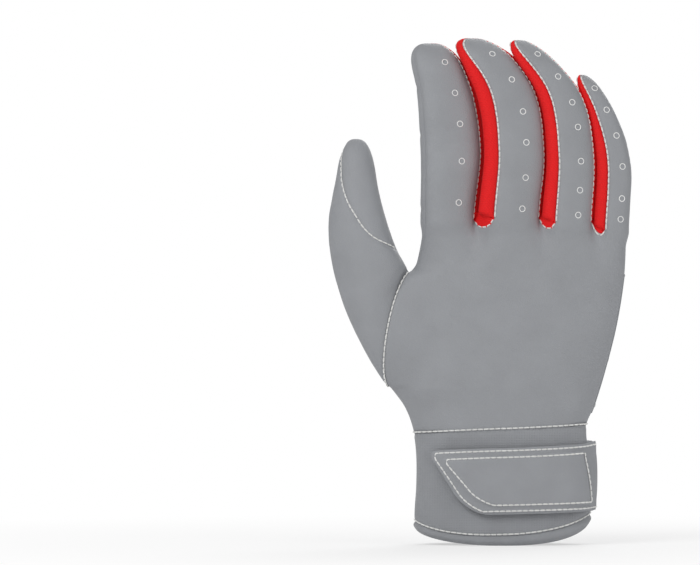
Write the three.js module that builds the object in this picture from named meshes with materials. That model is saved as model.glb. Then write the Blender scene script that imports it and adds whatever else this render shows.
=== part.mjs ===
// A batting glove for the right hand, standing in the shape that a hand gives it.
// Units are millimetres. +Z runs from the cuff to the fingertips, the back of the hand faces -Y,
// the palm faces +Y and the thumb is on the -X side. The origin is the middle of the cuff's mouth.
import * as THREE from "three";

// Driving dimensions.
const LEATHER = 1.2; // thickness of the hand and finger panels
const CUFF_CLOTH = 1.6; // thickness of the cuff band
const HEM_CLOTH = 2.4; // thickness of the folded hem binding
const SEAM_GAP = 0.4; // clear distance between two panels at a seam
const LAYER_GAP = 0.3; // clear distance between two layers that lie on each other
const FINGER_ROLL = THREE.MathUtils.degToRad(16); // how far the fingers turn towards the thumb
const BASE_FLEX = THREE.MathUtils.degToRad(75); // how far a finger folds at its base
const MIDDLE_FLEX = THREE.MathUtils.degToRad(85); // how far it folds at its middle knuckle
const HINGE_DEPTH = 0.3; // depth of a hinge below the finger's middle, as a share of its half depth
const HINGE_GAP = 0.6; // clear distance between two lengths of a finger at a hinge
const BASE_GAP = 1.4; // clear distance of a finger's lower part from the middle of its base hinge
const TIP_CAP = 17; // length of a fingertip's dome
const TIP_WIDTH_AT = 13.6; // distance from the tip where a finger's last width is given
const THUMB_BOW = 6; // how far the thumb's seam bows out from a straight line
const THUMB_HOLE_DEPTH = 11; // half depth of the hole that the thumb is sewn into
const HAND_ROUNDING = 0.85; // power of the hand's oval sections: 1 is an ellipse, less is squarer
const FINGER_ROUNDING = 0.8; // the same for the fingers
const FINGER_MERGE = 26; // length over which the finger shapes fade into the hand
const STRAP_LEATHER = 1.5;
const TAPE = 0.8; // thickness of the hook tape, the loop tape and the badge panel
const TIP_SLIMMING = 0.7; // power of a tip's dome sideways: less than 1 keeps the tip broad
const FINGER_MIDDLE = 0.45; // share of a finger's length where its middle width is given
const MIDDLE_KNUCKLE = 0.47; // share of a finger's length where it folds

const GREY = { color: 0x929498, roughness: 0.62, metalness: 0 };
const CUFF_GREY = { color: 0x8d8f93, roughness: 0.8, metalness: 0 };
const RED = { color: 0xdf1f21, roughness: 0.7, metalness: 0 };
const TAPE_GREY = { color: 0x6f7175, roughness: 0.95, metalness: 0 };

// Fingers, from the thumb's side. Each line runs from inside the hand, through the base of the
// finger and its middle, to the tip. Half widths are at the base, the middle and near the tip.
const FINGERS = [
  {
    name: "index",
    line: [[-27, -0.5, 125], [-27, -0.5, 157], [-25.3, 0.3, 190], [-28.2, 2.6, 218], [-35.4, 6, 242.4]],
    halfWidths: [13.4, 12.8, 10.9],
    halfDepths: [10, 9.4, 8.2],
  },
  {
    name: "middle",
    line: [[3.6, -2, 125], [3.6, -2, 158], [6, -1, 190], [1.4, 1.8, 220], [-15.2, 5.5, 244.9]],
    halfWidths: [13.5, 12.2, 10.8],
    halfDepths: [10.2, 9.6, 8.4],
  },
  {
    name: "ring",
    line: [[30.9, -0.5, 125], [31.1, -0.5, 156], [32.6, 0.6, 188], [27.3, 3, 218], [7.7, 6.5, 243.5]],
    halfWidths: [11, 10.1, 8],
    halfDepths: [9.6, 9, 7.8],
  },
  {
    name: "little",
    line: [[51.5, 2.5, 122], [52.5, 2.5, 152], [53.5, 3.4, 186], [47.8, 5.4, 208], [38.2, 8, 227.2]],
    halfWidths: [7.8, 7.4, 5.8],
    halfDepths: [8.4, 8, 6.6],
  },
];

// The thumb's edges: the one that faces the index finger and the outer one, from the seam to the tip.
const THUMB_INNER = [
  [-45.3, 0, 132.1], [-46.3, 0, 132.8], [-47.8, -1, 135.5], [-51.6, -2, 142.2],
  [-55.9, -2, 153.8], [-59.8, -1, 167.5], [-62.3, 1, 181], [-64, 3.5, 196],
];
const THUMB_OUTER = [
  [-55.4, 0, 75.7], [-67.5, 0, 95], [-78.1, 1, 118.1], [-84, 3, 143],
  [-84.4, 4, 157.6], [-82.4, 5, 168], [-80, 6, 181], [-78.5, 7.5, 196],
];
const THUMB_HALF_DEPTHS = [[0, THUMB_HOLE_DEPTH], [1.5, 13], [3, 11.5], [4.5, 10], [6, 8.6], [7, 8]];
const THUMB_BASE_AT = 3; // place of the thumb's base hinge along its edges
const THUMB_TIP_AT = 5; // place of its tip hinge
const THUMB_CAP_AT = 6; // where the tip's dome starts
const THUMB_BOW_END = 2.5; // where its bow has faded
const THUMB_CREASE = [1.14, 1.86]; // turns between which its folds lie

// The hand and the cuff in outline, as [height, sideways] pairs.
const LEFT_EDGE = [
  [0, -42.6], [14.5, -43.2], [28, -42.4], [43, -42.4], [54.5, -43.9], [66, -48.2], [75.7, -55.4],
];
const LEFT_EDGE_ABOVE_THUMB = [[132.1, -45.3], [136, -42.8], [146, -41.2], [158, -39.8]];
const RIGHT_EDGE = [
  [0, 41.4], [14.5, 42], [28, 42.9], [43, 41.5], [56, 40.2], [66, 43.9], [83, 49.2],
  [106, 55], [130, 58.8], [152, 60.6], [158, 61],
];
// Half depths of the hand's oval, as [height, depth] pairs.
const BACK_DEPTH = [[0, 17.5], [28, 16.5], [56, 15.5], [85, 15], [112, 13.8], [140, 11.8], [158, 10.2]];
const PALM_DEPTH = [[0, 17.5], [28, 16.5], [56, 15.8], [85, 17.2], [112, 15.6], [140, 12.4], [158, 10.2]];
const THUMB_HOLE = [75.7, 132.1]; // heights of the ends of the thumb's hole

// Cuff lines: all tilt up to the little finger's side. The wrist seam dips on the palm, the hem and
// the mouth on both faces.
const WRIST_HEIGHT = 55.4;
const WRIST_TILT = 2;
const WRIST_PALM_DIP = 6.2;
const HEM_TILT = 1.7;
const HEM_SIDE_HEIGHT = 13;
const HEM_DIP = 8.4;
const MOUTH_SIDE_HEIGHT = 9.3;
const HEM_CURVE = 1.5; // powers of the dips: more makes a narrower dip
const MOUTH_CURVE = 1.2;

// The strap on the cuff's back: its height, its free end and its root at the cuff's right side.
const STRAP_TOP = [45.8, 49.4]; // at the free end and at the root
const STRAP_BOTTOM = [14.8, 17];
const STRAP_TIP_X = -35.5; // the upper corner of its slanted free end
const STRAP_HEEL_X = -15.5; // the lower corner
const STRAP_SLANT_CURVE = 0.8; // power of the slant between them: 1 is straight
const STRAP_ROOT_TURN = 0.985; // share of the half turn from the left side to the right one
const STRAP_RISE = [0.1, 0.45]; // shares of its length between which it rises over the tapes
const LOOP_TAPE_SPAN = [0.45, 0.97]; // shares of the strap's length that the layers cover
const HOOK_TAPE_SPAN = [0.62, 0.96];
const BADGE_SPAN = [0.21, 1];
const TAPE_INSET = 3; // distance of the tapes from the strap's edges
const BADGE_INSET = 3.2;
const END_INSET = 1.6; // how many times further in the layers lie at the slanted end

// The grip pad on the heel of the palm: where its inner edge lies, as [height, sideways] pairs.
const HEEL_PAD_EDGE = [
  [63.4, 39], [70, 28.4], [80, 11.2], [88, -2.4], [94, -8.8],
  [101, -10.6], [108, -8.4], [118, 2.2], [126.4, 11.4], [130.6, 19.5],
];
const HEEL_PAD_THICKNESS = 1.4;
const HEEL_PAD_CLEAR = 1.3; // distance from the palm's oval, which the palm's facets stand out from
const HEEL_PAD_SIDE_TURN = 0.9; // where it ends at the little finger's side
const HEEL_PAD_LEAST_TURN = 0.03; // its least width, at its pointed lower end

// The elastic inside the palm side of the cuff.
const ELASTIC_TURNS = [1.14, 1.86];
const ELASTIC_HEIGHTS = [24, 42];
const ELASTIC_THICKNESS = 1;

const { clamp, lerp, smoothstep } = THREE.MathUtils;
const signedPower = (value, power) => Math.sign(value) * Math.abs(value) ** power;
const range = (count) => [...Array(count).keys()];

// A smooth function through [position, value] pairs.
function profile(pairs) {
  const slope = (i) => {
    const a = pairs[Math.max(i - 1, 0)];
    const b = pairs[Math.min(i + 1, pairs.length - 1)];
    return (b[1] - a[1]) / (b[0] - a[0]);
  };
  return (position) => {
    const at = clamp(position, pairs[0][0], pairs[pairs.length - 1][0]);
    let i = 0;
    while (i < pairs.length - 2 && at > pairs[i + 1][0]) i += 1;
    const span = pairs[i + 1][0] - pairs[i][0];
    const u = (at - pairs[i][0]) / span;
    const rise = u * u * (3 - 2 * u);
    return (
      lerp(pairs[i][1], pairs[i + 1][1], rise) +
      span * (slope(i) * u * (1 - u) ** 2 - slope(i + 1) * u * u * (1 - u))
    );
  };
}

const curveThrough = (points) =>
  new THREE.CatmullRomCurve3(points.map((p) => new THREE.Vector3(...p)), false, "centripetal");

// A sheet of even thickness: its outer face is a grid of points, its inner face lies along the normals.
// A closed sheet joins its last column to its first.
function sheet(points, normals, thickness, closed = false) {
  const rows = points.length;
  const columns = points[0].length;
  const position = [];
  for (const depth of [0, thickness]) {
    points.forEach((row, i) =>
      row.forEach((point, j) => position.push(...point.clone().addScaledVector(normals[i][j], -depth))),
    );
  }
  const outer = (i, j) => i * columns + (j % columns);
  const inner = (i, j) => rows * columns + outer(i, j);
  const index = [];
  const quad = (a, b, c, d) => index.push(a, b, c, a, c, d);
  const lastColumn = closed ? columns : columns - 1;
  for (let i = 0; i < rows - 1; i += 1) {
    for (let j = 0; j < lastColumn; j += 1) {
      quad(outer(i, j), outer(i, j + 1), outer(i + 1, j + 1), outer(i + 1, j));
      quad(inner(i, j), inner(i + 1, j), inner(i + 1, j + 1), inner(i, j + 1));
    }
    if (!closed) {
      quad(outer(i, 0), outer(i + 1, 0), inner(i + 1, 0), inner(i, 0));
      quad(outer(i + 1, lastColumn), outer(i, lastColumn), inner(i, lastColumn), inner(i + 1, lastColumn));
    }
  }
  for (let j = 0; j < lastColumn; j += 1) {
    quad(outer(0, j + 1), outer(0, j), inner(0, j), inner(0, j + 1));
    quad(outer(rows - 1, j), outer(rows - 1, j + 1), inner(rows - 1, j + 1), inner(rows - 1, j));
  }
  const geometry = new THREE.BufferGeometry();
  geometry.setAttribute("position", new THREE.Float32BufferAttribute(position, 3));
  geometry.setIndex(volumeOf(position, index) < 0 ? index.reverse() : index);
  geometry.computeVertexNormals();
  return geometry;
}

// Six times the volume inside a triangle mesh; it is negative where the faces point inwards.
function volumeOf(position, index) {
  const corner = (k) => new THREE.Vector3(...position.slice(3 * index[k], 3 * index[k] + 3));
  let sum = 0;
  for (let k = 0; k < index.length; k += 3) sum += corner(k).dot(corner(k + 1).cross(corner(k + 2)));
  return sum;
}

// A sheet on a smooth surface. surface(u, v) gives a point, middle(u, v) a point on its inner side,
// and place(i, j) the surface's u and v at each grid point. lift(i, j) moves the outer face outwards.
function sheetOn({ surface, middle, rows, columns, place, thickness, lift = () => 0, closed = false }) {
  const STEP = 1e-3;
  const points = [];
  const normals = [];
  for (const i of range(rows)) {
    points.push([]);
    normals.push([]);
    for (const j of range(columns)) {
      const [u, v] = place(i, j);
      const point = surface(u, v);
      const along = surface(u, v + STEP).sub(surface(u, v - STEP));
      const across = surface(u + STEP, v).sub(surface(u - STEP, v));
      const normal = across.cross(along).normalize();
      if (normal.dot(point.clone().sub(middle(u, v))) < 0) normal.negate();
      points[i].push(point.addScaledVector(normal, lift(i, j)));
      normals[i].push(normal);
    }
  }
  return sheet(points, normals, thickness, closed);
}

const glove = new THREE.Group();

function add(name, geometry, finish) {
  const mesh = new THREE.Mesh(geometry, new THREE.MeshStandardMaterial(finish));
  mesh.name = name;
  glove.add(mesh);
}

// Fingers. A place on a finger is a turn and a length. The turn counts twelve stations around it:
// 0 to 4 cross the back from the thumb's side, 5 is the far side, 6 to 10 cross the palm side back
// and 11 is the near side. The seams lie at 0, 4, 6 and 10. The length starts at the finger's base.
const BACK = [0, 4];
const FAR_WALL = [4, 6];
const PALM = [6, 10];
const NEAR_WALL = [10, 12];
const STRIP_STEPS = 5;
const WALL_STEPS = 4;

const CURVE_STEPS = 400;
for (const finger of FINGERS) {
  finger.curve = curveThrough(finger.line);
  finger.curve.arcLengthDivisions = CURVE_STEPS;
  const total = finger.curve.getLength();
  const root = finger.curve.getLengths(CURVE_STEPS)[CURVE_STEPS / (finger.line.length - 1)];
  finger.length = total - root;
  finger.pointAt = (s) => finger.curve.getPointAt(clamp((s + root) / total, 0, 1));
  const stations = [0, finger.length * FINGER_MIDDLE, finger.length - TIP_WIDTH_AT];
  finger.halfWidth = profile(stations.map((s, i) => [s, finger.halfWidths[i]]));
  finger.halfDepth = profile(stations.map((s, i) => [s, finger.halfDepths[i]]));
  finger.middleKnuckle = finger.length * MIDDLE_KNUCKLE;
}

// Angles of the seams round a finger, up from its far side, at their turns.
const SEAM_TURNS = [0, 4, 6, 10, 12];
const SEAM_ANGLES = [140, 28, -52, -152, -220].map(THREE.MathUtils.degToRad);

function fingerAngle(turn) {
  const wrapped = ((turn % 12) + 12) % 12;
  const next = Math.max(1, SEAM_TURNS.findIndex((seam) => wrapped <= seam));
  const share = (wrapped - SEAM_TURNS[next - 1]) / (SEAM_TURNS[next] - SEAM_TURNS[next - 1]);
  return lerp(SEAM_ANGLES[next - 1], SEAM_ANGLES[next], share);
}

// How much of its section a finger keeps at a length, from 1 along it to 0 at the very tip.
function domeShare(finger, s) {
  const into = clamp((s - finger.length + TIP_CAP) / TIP_CAP, 0, 1);
  return Math.sqrt(1 - into * into);
}

// Sideways and outwards axes of a finger's sections, which lie level.
const FINGER_SIDE = new THREE.Vector3(Math.cos(FINGER_ROLL), Math.sin(FINGER_ROLL), 0);
const FINGER_BACK = new THREE.Vector3(Math.sin(FINGER_ROLL), -Math.cos(FINGER_ROLL), 0);

const depthAt = (finger, turn) =>
  finger.halfDepth(0) * signedPower(Math.sin(fingerAngle(turn)), FINGER_ROUNDING);

function fingerPoint(finger, turn, s) {
  const angle = fingerAngle(turn);
  const dome = domeShare(finger, s);
  const halfWidth = finger.halfWidth(s) * dome ** TIP_SLIMMING;
  const halfDepth = finger.halfDepth(s) * dome;
  return finger
    .pointAt(s)
    .addScaledVector(FINGER_SIDE, halfWidth * signedPower(Math.cos(angle), FINGER_ROUNDING))
    .addScaledVector(FINGER_BACK, halfDepth * signedPower(Math.sin(angle), FINGER_ROUNDING));
}

// How far a finger's edge is cut back from a hinge, so that its palm side has room to fold.
const foldRoom = (finger, turn, flex) =>
  Math.max(0, -HINGE_DEPTH * finger.halfDepth(0) - depthAt(finger, turn)) * Math.tan(flex / 2);

const TURN_GAP = 0.1; // half a seam gap, in stations
const TIP_ROWS = [0, 30, 55, 74, 88].map((angle) => Math.sin(THREE.MathUtils.degToRad(angle)));

function fingerSheet(finger, [from, to], steps, lengthAt, rows) {
  return sheetOn({
    surface: (turn, s) => fingerPoint(finger, turn, s),
    middle: (turn, s) => finger.pointAt(Math.min(s, finger.length - TIP_CAP)),
    rows,
    columns: steps + 1,
    place: (i, j) => {
      const turn = lerp(from + TURN_GAP, to - TURN_GAP, j / steps);
      return [turn, lengthAt(i, turn)];
    },
    thickness: LEATHER,
  });
}

// Lengths of the rows of a finger's lower and upper parts.
function lowerLength(finger, rows) {
  return (i, turn) => {
    const start = BASE_GAP + foldRoom(finger, turn, BASE_FLEX);
    const end = finger.middleKnuckle - HINGE_GAP / 2 - foldRoom(finger, turn, MIDDLE_FLEX);
    return lerp(start, end, i / (rows - 1));
  };
}

function upperLength(finger, rows) {
  const straight = rows - TIP_ROWS.length;
  return (i, turn) => {
    const start = finger.middleKnuckle + HINGE_GAP / 2 + foldRoom(finger, turn, MIDDLE_FLEX);
    const domeStart = finger.length - TIP_CAP;
    if (i < straight) return lerp(start, domeStart, i / straight);
    return domeStart + TIP_CAP * TIP_ROWS[i - straight];
  };
}

// The fold of leather that fills the room at a hinge on the palm side, between two turns.
const BASE_CREASE = [6.1, 9.9];
const MIDDLE_CREASE = [5.6, 10.3];
const CREASE_STEPS = 6;
function creaseSheet(finger, at, flex, [from, to]) {
  return sheetOn({
    surface: (turn, s) => fingerPoint(finger, turn, s),
    middle: (turn, s) => finger.pointAt(s),
    rows: 3,
    columns: CREASE_STEPS + 1,
    place: (i, j) => {
      const turn = lerp(from, to, j / CREASE_STEPS);
      return [turn, at + (i - 1) * foldRoom(finger, turn, flex)];
    },
    thickness: LEATHER,
  });
}

const LOWER_ROWS = 4;
const STRAIGHT_ROWS = 3;
const UPPER_ROWS = STRAIGHT_ROWS + TIP_ROWS.length;
FINGERS.forEach((finger, i) => {
  const first = i === 0;
  const last = i === FINGERS.length - 1;
  const panels = {
    back: [first ? -1 : BACK[0], last ? 5 : BACK[1]],
    palm: [last ? 5 : PALM[0], first ? 11 : PALM[1]],
  };
  const walls = {};
  if (!first) walls.near_wall = NEAR_WALL;
  if (!last) walls.far_wall = FAR_WALL;
  const parts = [
    ["lower", lowerLength(finger, LOWER_ROWS), LOWER_ROWS],
    ["upper", upperLength(finger, UPPER_ROWS), UPPER_ROWS],
  ];
  for (const [part, lengthAt, rows] of parts) {
    for (const [panel, turns] of Object.entries(panels)) {
      const steps = STRIP_STEPS + (turns[1] - turns[0] > 4 ? 1 : 0);
      add(`${finger.name}_${part}_${panel}`, fingerSheet(finger, turns, steps, lengthAt, rows), GREY);
    }
    for (const [wall, turns] of Object.entries(walls)) {
      const wallRows = part === "upper" ? rows - 1 : rows;
      add(`${finger.name}_${part}_${wall}`, fingerSheet(finger, turns, WALL_STEPS, lengthAt, wallRows), RED);
    }
  }
  const { name, middleKnuckle } = finger;
  add(`${name}_base_crease`, creaseSheet(finger, 0, BASE_FLEX, BASE_CREASE), GREY);
  add(`${name}_middle_crease`, creaseSheet(finger, middleKnuckle, MIDDLE_FLEX, MIDDLE_CREASE), GREY);
});

// Hand. A place on its oval is a turn and a height. The turn runs from 0 at the thumb's side across
// the back to 1 at the little finger's side, and from there across the palm to 2.
const leftBelow = profile(LEFT_EDGE);
const leftAbove = profile(LEFT_EDGE_ABOVE_THUMB);
const rightEdge = profile(RIGHT_EDGE);
const backDepth = profile(BACK_DEPTH);
const palmDepth = profile(PALM_DEPTH);

// The thumb's seam at a height: how far out it lies, and how far from the middle of the hand's depth.
function thumbSeam(z) {
  const [low, high] = THUMB_HOLE;
  if (z <= low) return { x: leftBelow(z), depth: 0 };
  if (z >= high) return { x: leftAbove(z), depth: 0 };
  const cosine = (2 * z - low - high) / (high - low);
  const sine = Math.sqrt(1 - cosine * cosine);
  const x = lerp(THUMB_OUTER[0][0], THUMB_INNER[0][0], (cosine + 1) / 2) - THUMB_BOW * sine;
  return { x, depth: THUMB_HOLE_DEPTH * sine };
}

function ovalPoint(turn, z) {
  const { x: left, depth: edgeDepth } = thumbSeam(z);
  const right = rightEdge(z);
  const onBack = turn >= 0 && turn <= 1;
  const share = (1 - signedPower(Math.cos(Math.PI * turn), HAND_ROUNDING)) / 2;
  const round = Math.abs(Math.sin(Math.PI * turn)) ** HAND_ROUNDING;
  const open = edgeDepth * (1 - share) ** 2;
  const depth = open + ((onBack ? backDepth(z) : palmDepth(z)) - open) * round;
  return new THREE.Vector3(lerp(left, right, share), onBack ? -depth : depth, z);
}

const ovalMiddle = (turn, z) => new THREE.Vector3((thumbSeam(z).x + rightEdge(z)) / 2, 0, z);
const acrossAt = (turn) => -Math.cos(Math.PI * turn); // -1 at the thumb's side, 1 at the other
const wristHeight = (turn) => {
  const across = acrossAt(turn);
  return WRIST_HEIGHT + WRIST_TILT * across - (turn > 1 ? WRIST_PALM_DIP * (1 - across * across) : 0);
};
const dipAt = (turn, power) => Math.abs(Math.sin(Math.PI * turn)) ** power;
const hemHeight = (turn) => HEM_SIDE_HEIGHT + HEM_TILT * acrossAt(turn) - HEM_DIP * dipAt(turn, HEM_CURVE);
const mouthHeight = (turn) =>
  (MOUTH_SIDE_HEIGHT + HEM_TILT * acrossAt(turn)) * (1 - dipAt(turn, MOUTH_CURVE));

// The columns of a hand panel, one for each station of each finger on that face, with the hand's sides.
const LAST_FINGER = FINGERS.length - 1;
const backStations = (i) => [...(i === 0 ? [-1] : []), 0, 1, 2, 3, 4, ...(i === LAST_FINGER ? [5] : [])];
const palmStations = (i) => [...(i === 0 ? [11] : []), 10, 9, 8, 7, 6, ...(i === LAST_FINGER ? [5] : [])];
const columnsOf = (stations) =>
  FINGERS.flatMap((finger, i) => stations(i).map((turn) => ({ finger, turn })));
const backColumns = columnsOf(backStations);
const palmColumns = columnsOf(palmStations);

// The hand's rows as shares of the way from the wrist to the fingers: they meet the thumb hole's ends.
const HAND_ROWS = [0, 0.11, 0.204, 0.3, 0.42, 0.54, 0.66, 0.754, 0.83, 0.92, 1];

// A grid of points on one face of the hand, from the wrist seam to the bases of the fingers.
function handGrid(columns, isBack) {
  const tops = columns.map(({ finger, turn }) =>
    fingerPoint(finger, turn, -HINGE_GAP / 2 - foldRoom(finger, turn, BASE_FLEX)),
  );
  const left = tops[0].x;
  const right = tops[tops.length - 1].x;
  return HAND_ROWS.map((share) =>
    columns.map(({ finger, turn }, j) => {
      const across = 1 - (2 * (tops[j].x - left)) / (right - left);
      const bend = Math.acos(signedPower(clamp(across, -1, 1), 1 / HAND_ROUNDING)) / Math.PI;
      const ovalTurn = isBack ? bend : 2 - bend;
      const z = lerp(wristHeight(ovalTurn) + SEAM_GAP, tops[j].z, share);
      const below = tops[j].z - z;
      const oval = ovalPoint(ovalTurn, z);
      const merged = fingerPoint(finger, turn, -HINGE_GAP / 2 - foldRoom(finger, turn, BASE_FLEX) - below);
      return oval.lerp(merged, 1 - smoothstep(below, 0, FINGER_MERGE));
    }),
  );
}

// Normals of a grid from its neighbours. Along the side seams they lie flat, so that the two faces meet,
// and beside the thumb's hole they tilt outwards.
const HOLE_EDGE_TILT = 1.6;
function gridNormals(points, isBack) {
  const columns = points[0].length;
  return points.map((row, i) =>
    row.map((point, j) => {
      const along = points[Math.min(i + 1, points.length - 1)][j].clone().sub(points[Math.max(i - 1, 0)][j]);
      const across = row[Math.min(j + 1, columns - 1)].clone().sub(row[Math.max(j - 1, 0)]);
      const normal = across.cross(along).normalize();
      if (normal.y > 0 === isBack) normal.negate();
      const atSide = j === 0 || j === columns - 1;
      const overHole = j === 0 && Math.abs(point.y) > 1;
      const tilt = overHole ? Math.sign(point.y) * HOLE_EDGE_TILT : 0;
      if (atSide) normal.set(j === 0 ? -1 : 1, tilt, 0).normalize();
      return normal;
    }),
  );
}

const handPanels = [
  ["back_panel", backColumns, true],
  ["palm_panel", palmColumns, false],
];
for (const [name, columns, isBack] of handPanels) {
  const points = handGrid(columns, isBack);
  const normals = gridNormals(points, isBack);
  for (const row of points) {
    for (const j of [0, row.length - 1]) row[j].y += ((isBack ? -1 : 1) * SEAM_GAP) / 2;
  }
  add(name, sheet(points, normals, LEATHER), GREY);
}

// Webs: the red gusset's floor between two fingers, a flat piece from the back to the palm.
const WEB_NEAR = [0.3, 1.2]; // stations past the back seam of the finger on the thumb's side
const WEB_FAR = [1.2, 1.65]; // the same for the finger on the far side
const WEB_DROP = 1.25; // depth of the floor below the bases of the fingers
const WEB_OVERRUN = 0.05; // how far it runs on under both fingers, as a share of its width
for (const i of range(FINGERS.length - 1)) {
  const [near, far] = [FINGERS[i], FINGERS[i + 1]];
  const [low, high] = [near.pointAt(-WEB_DROP), far.pointAt(-WEB_DROP)];
  const level = (point) => point.setZ(lerp(low.z, high.z, (point.x - low.x) / (high.x - low.x)));
  const points = [0, 1].map((share) => {
    const start = fingerPoint(near, 4 + lerp(...WEB_NEAR, share), -WEB_DROP);
    const end = fingerPoint(far, 12 - lerp(...WEB_FAR, share), -WEB_DROP);
    const sides = [start.clone().lerp(end, -WEB_OVERRUN), end.clone().lerp(start, -WEB_OVERRUN)];
    return sides.map(level);
  });
  const up = new THREE.Vector3(0, 0, 1);
  add(`web_${near.name}_${far.name}`, sheet(points, points.map((row) => row.map(() => up)), LEATHER), RED);
}

// Thumb. A place on it is a turn and a place along its edges. The turn runs from 0 at the inner edge
// across the back to 1 at the outer edge, and across the palm side to 2.
const thumbInner = curveThrough(THUMB_INNER);
const thumbOuter = curveThrough(THUMB_OUTER);
const thumbDepth = profile(THUMB_HALF_DEPTHS);
const THUMB_END = THUMB_INNER.length - 1;

function thumbPoint(turn, place) {
  const share = clamp(place / THUMB_END, 0, 1);
  const inner = thumbInner.getPoint(share);
  const outer = thumbOuter.getPoint(share);
  const into = clamp((place - THUMB_CAP_AT) / (THUMB_END - THUMB_CAP_AT), 0, 1);
  const dome = Math.sqrt(1 - into * into);
  const half = inner.clone().sub(outer).multiplyScalar(0.5);
  const back = new THREE.Vector3(half.y, -half.x, 0).normalize();
  const cosine = Math.cos(Math.PI * turn);
  const sine = Math.sin(Math.PI * turn);
  const bow = THUMB_BOW * Math.abs(sine) * (1 - smoothstep(place, 0, THUMB_BOW_END));
  return inner
    .add(outer)
    .multiplyScalar(0.5)
    .addScaledVector(half, cosine * dome ** TIP_SLIMMING)
    .addScaledVector(back, thumbDepth(place) * dome * sine)
    .add(new THREE.Vector3(-bow, 0, 0));
}

const thumbMiddle = (turn, place) => {
  const share = clamp(Math.min(place, THUMB_CAP_AT) / THUMB_END, 0, 1);
  return thumbInner.getPoint(share).add(thumbOuter.getPoint(share)).multiplyScalar(0.5);
};

// Room for the thumb's folds, in places along its edges.
const THUMB_PLACE_LENGTH = 12;
const THUMB_TURN_GAP = 0.012;
const thumbFoldRoom = (turn, flex) =>
  (Math.max(0, -HINGE_DEPTH - Math.sin(Math.PI * turn)) * thumbDepth(THUMB_BASE_AT) * Math.tan(flex / 2)) /
  THUMB_PLACE_LENGTH;
const THUMB_GAP = HINGE_GAP / 2 / THUMB_PLACE_LENGTH;
const THUMB_BASE_FLEX = THREE.MathUtils.degToRad(50);
const THUMB_TIP_FLEX = THREE.MathUtils.degToRad(70);
const THUMB_STEPS = 7;

function thumbSheet([from, to], rows, placeAt) {
  return sheetOn({
    surface: thumbPoint,
    middle: thumbMiddle,
    rows,
    columns: THUMB_STEPS + 1,
    place: (i, j) => {
      const turn = lerp(from + THUMB_TURN_GAP, to - THUMB_TURN_GAP, j / THUMB_STEPS);
      return [turn, placeAt(i, turn)];
    },
    thickness: LEATHER,
  });
}

const THUMB_ROOT_ROWS = 5;
const THUMB_LOWER_ROWS = 4;
const THUMB_STRAIGHT_ROWS = 2;
const THUMB_UPPER_ROWS = THUMB_STRAIGHT_ROWS + TIP_ROWS.length;
const THUMB_SEAM_CLEAR = 0.05; // gap at the thumb's seam, in places along its edges
const thumbBaseRoom = (turn) => THUMB_GAP + thumbFoldRoom(turn, THUMB_BASE_FLEX);
const thumbTipRoom = (turn) => THUMB_GAP + thumbFoldRoom(turn, THUMB_TIP_FLEX);

function thumbRootPlace(i, turn) {
  return lerp(THUMB_SEAM_CLEAR, THUMB_BASE_AT - thumbBaseRoom(turn), i / (THUMB_ROOT_ROWS - 1));
}

function thumbLowerPlace(i, turn) {
  const start = THUMB_BASE_AT + thumbBaseRoom(turn);
  return lerp(start, THUMB_TIP_AT - thumbTipRoom(turn), i / (THUMB_LOWER_ROWS - 1));
}

function thumbUpperPlace(i, turn) {
  const start = THUMB_TIP_AT + thumbTipRoom(turn);
  if (i < THUMB_STRAIGHT_ROWS) return lerp(start, THUMB_CAP_AT, i / THUMB_STRAIGHT_ROWS);
  return THUMB_CAP_AT + TIP_ROWS[i - THUMB_STRAIGHT_ROWS] * (THUMB_END - THUMB_CAP_AT);
}

const thumbParts = [
  ["root", THUMB_ROOT_ROWS, thumbRootPlace],
  ["lower", THUMB_LOWER_ROWS, thumbLowerPlace],
  ["upper", THUMB_UPPER_ROWS, thumbUpperPlace],
];
for (const [part, rows, placeAt] of thumbParts) {
  add(`thumb_${part}_back`, thumbSheet([0, 1], rows, placeAt), GREY);
  add(`thumb_${part}_palm`, thumbSheet([1, 2], rows, placeAt), GREY);
}

function thumbCrease(at, flex) {
  return sheetOn({
    surface: thumbPoint,
    middle: thumbMiddle,
    rows: 3,
    columns: CREASE_STEPS + 1,
    place: (i, j) => {
      const turn = lerp(...THUMB_CREASE, j / CREASE_STEPS);
      return [turn, at + (i - 1) * thumbFoldRoom(turn, flex)];
    },
    thickness: LEATHER,
  });
}
add("thumb_base_crease", thumbCrease(THUMB_BASE_AT, THUMB_BASE_FLEX), GREY);
add("thumb_tip_crease", thumbCrease(THUMB_TIP_AT, THUMB_TIP_FLEX), GREY);

// Cuff: a back and a palm band, a hem binding round the mouth, and an elastic inside the palm band.
const CUFF_STEPS = 16;
const CUFF_ROWS = 4;
const CUFF_TURN_GAP = 0.004; // half the gap at a side seam, as a turn
const HEM_STEPS = 40;
const HEM_ROWS = 3;
const ELASTIC_STEPS = 12;
const ELASTIC_ROWS = 2;
function cuffSheet(from, to, steps, rows, heights, options) {
  return sheetOn({
    surface: ovalPoint,
    middle: ovalMiddle,
    rows,
    columns: steps + (options.closed ? 0 : 1),
    place: (i, j) => {
      const turn = lerp(from, to, j / steps);
      const [low, high] = heights(turn);
      return [turn, lerp(low, high, i / (rows - 1))];
    },
    ...options,
  });
}
const bandHeights = (turn) => [hemHeight(turn) + SEAM_GAP / 2, wristHeight(turn) - SEAM_GAP / 2];
for (const [name, from, to] of [["cuff_back", 0, 1], ["cuff_palm", 1, 2]]) {
  const band = cuffSheet(from + CUFF_TURN_GAP, to - CUFF_TURN_GAP, CUFF_STEPS, CUFF_ROWS, bandHeights, {
    thickness: CUFF_CLOTH,
  });
  add(name, band, CUFF_GREY);
}
const HEM_PROUD = 0.4; // how far the hem stands out from the cuff
const hemHeights = (turn) => [mouthHeight(turn), hemHeight(turn) - SEAM_GAP / 2];
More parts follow.
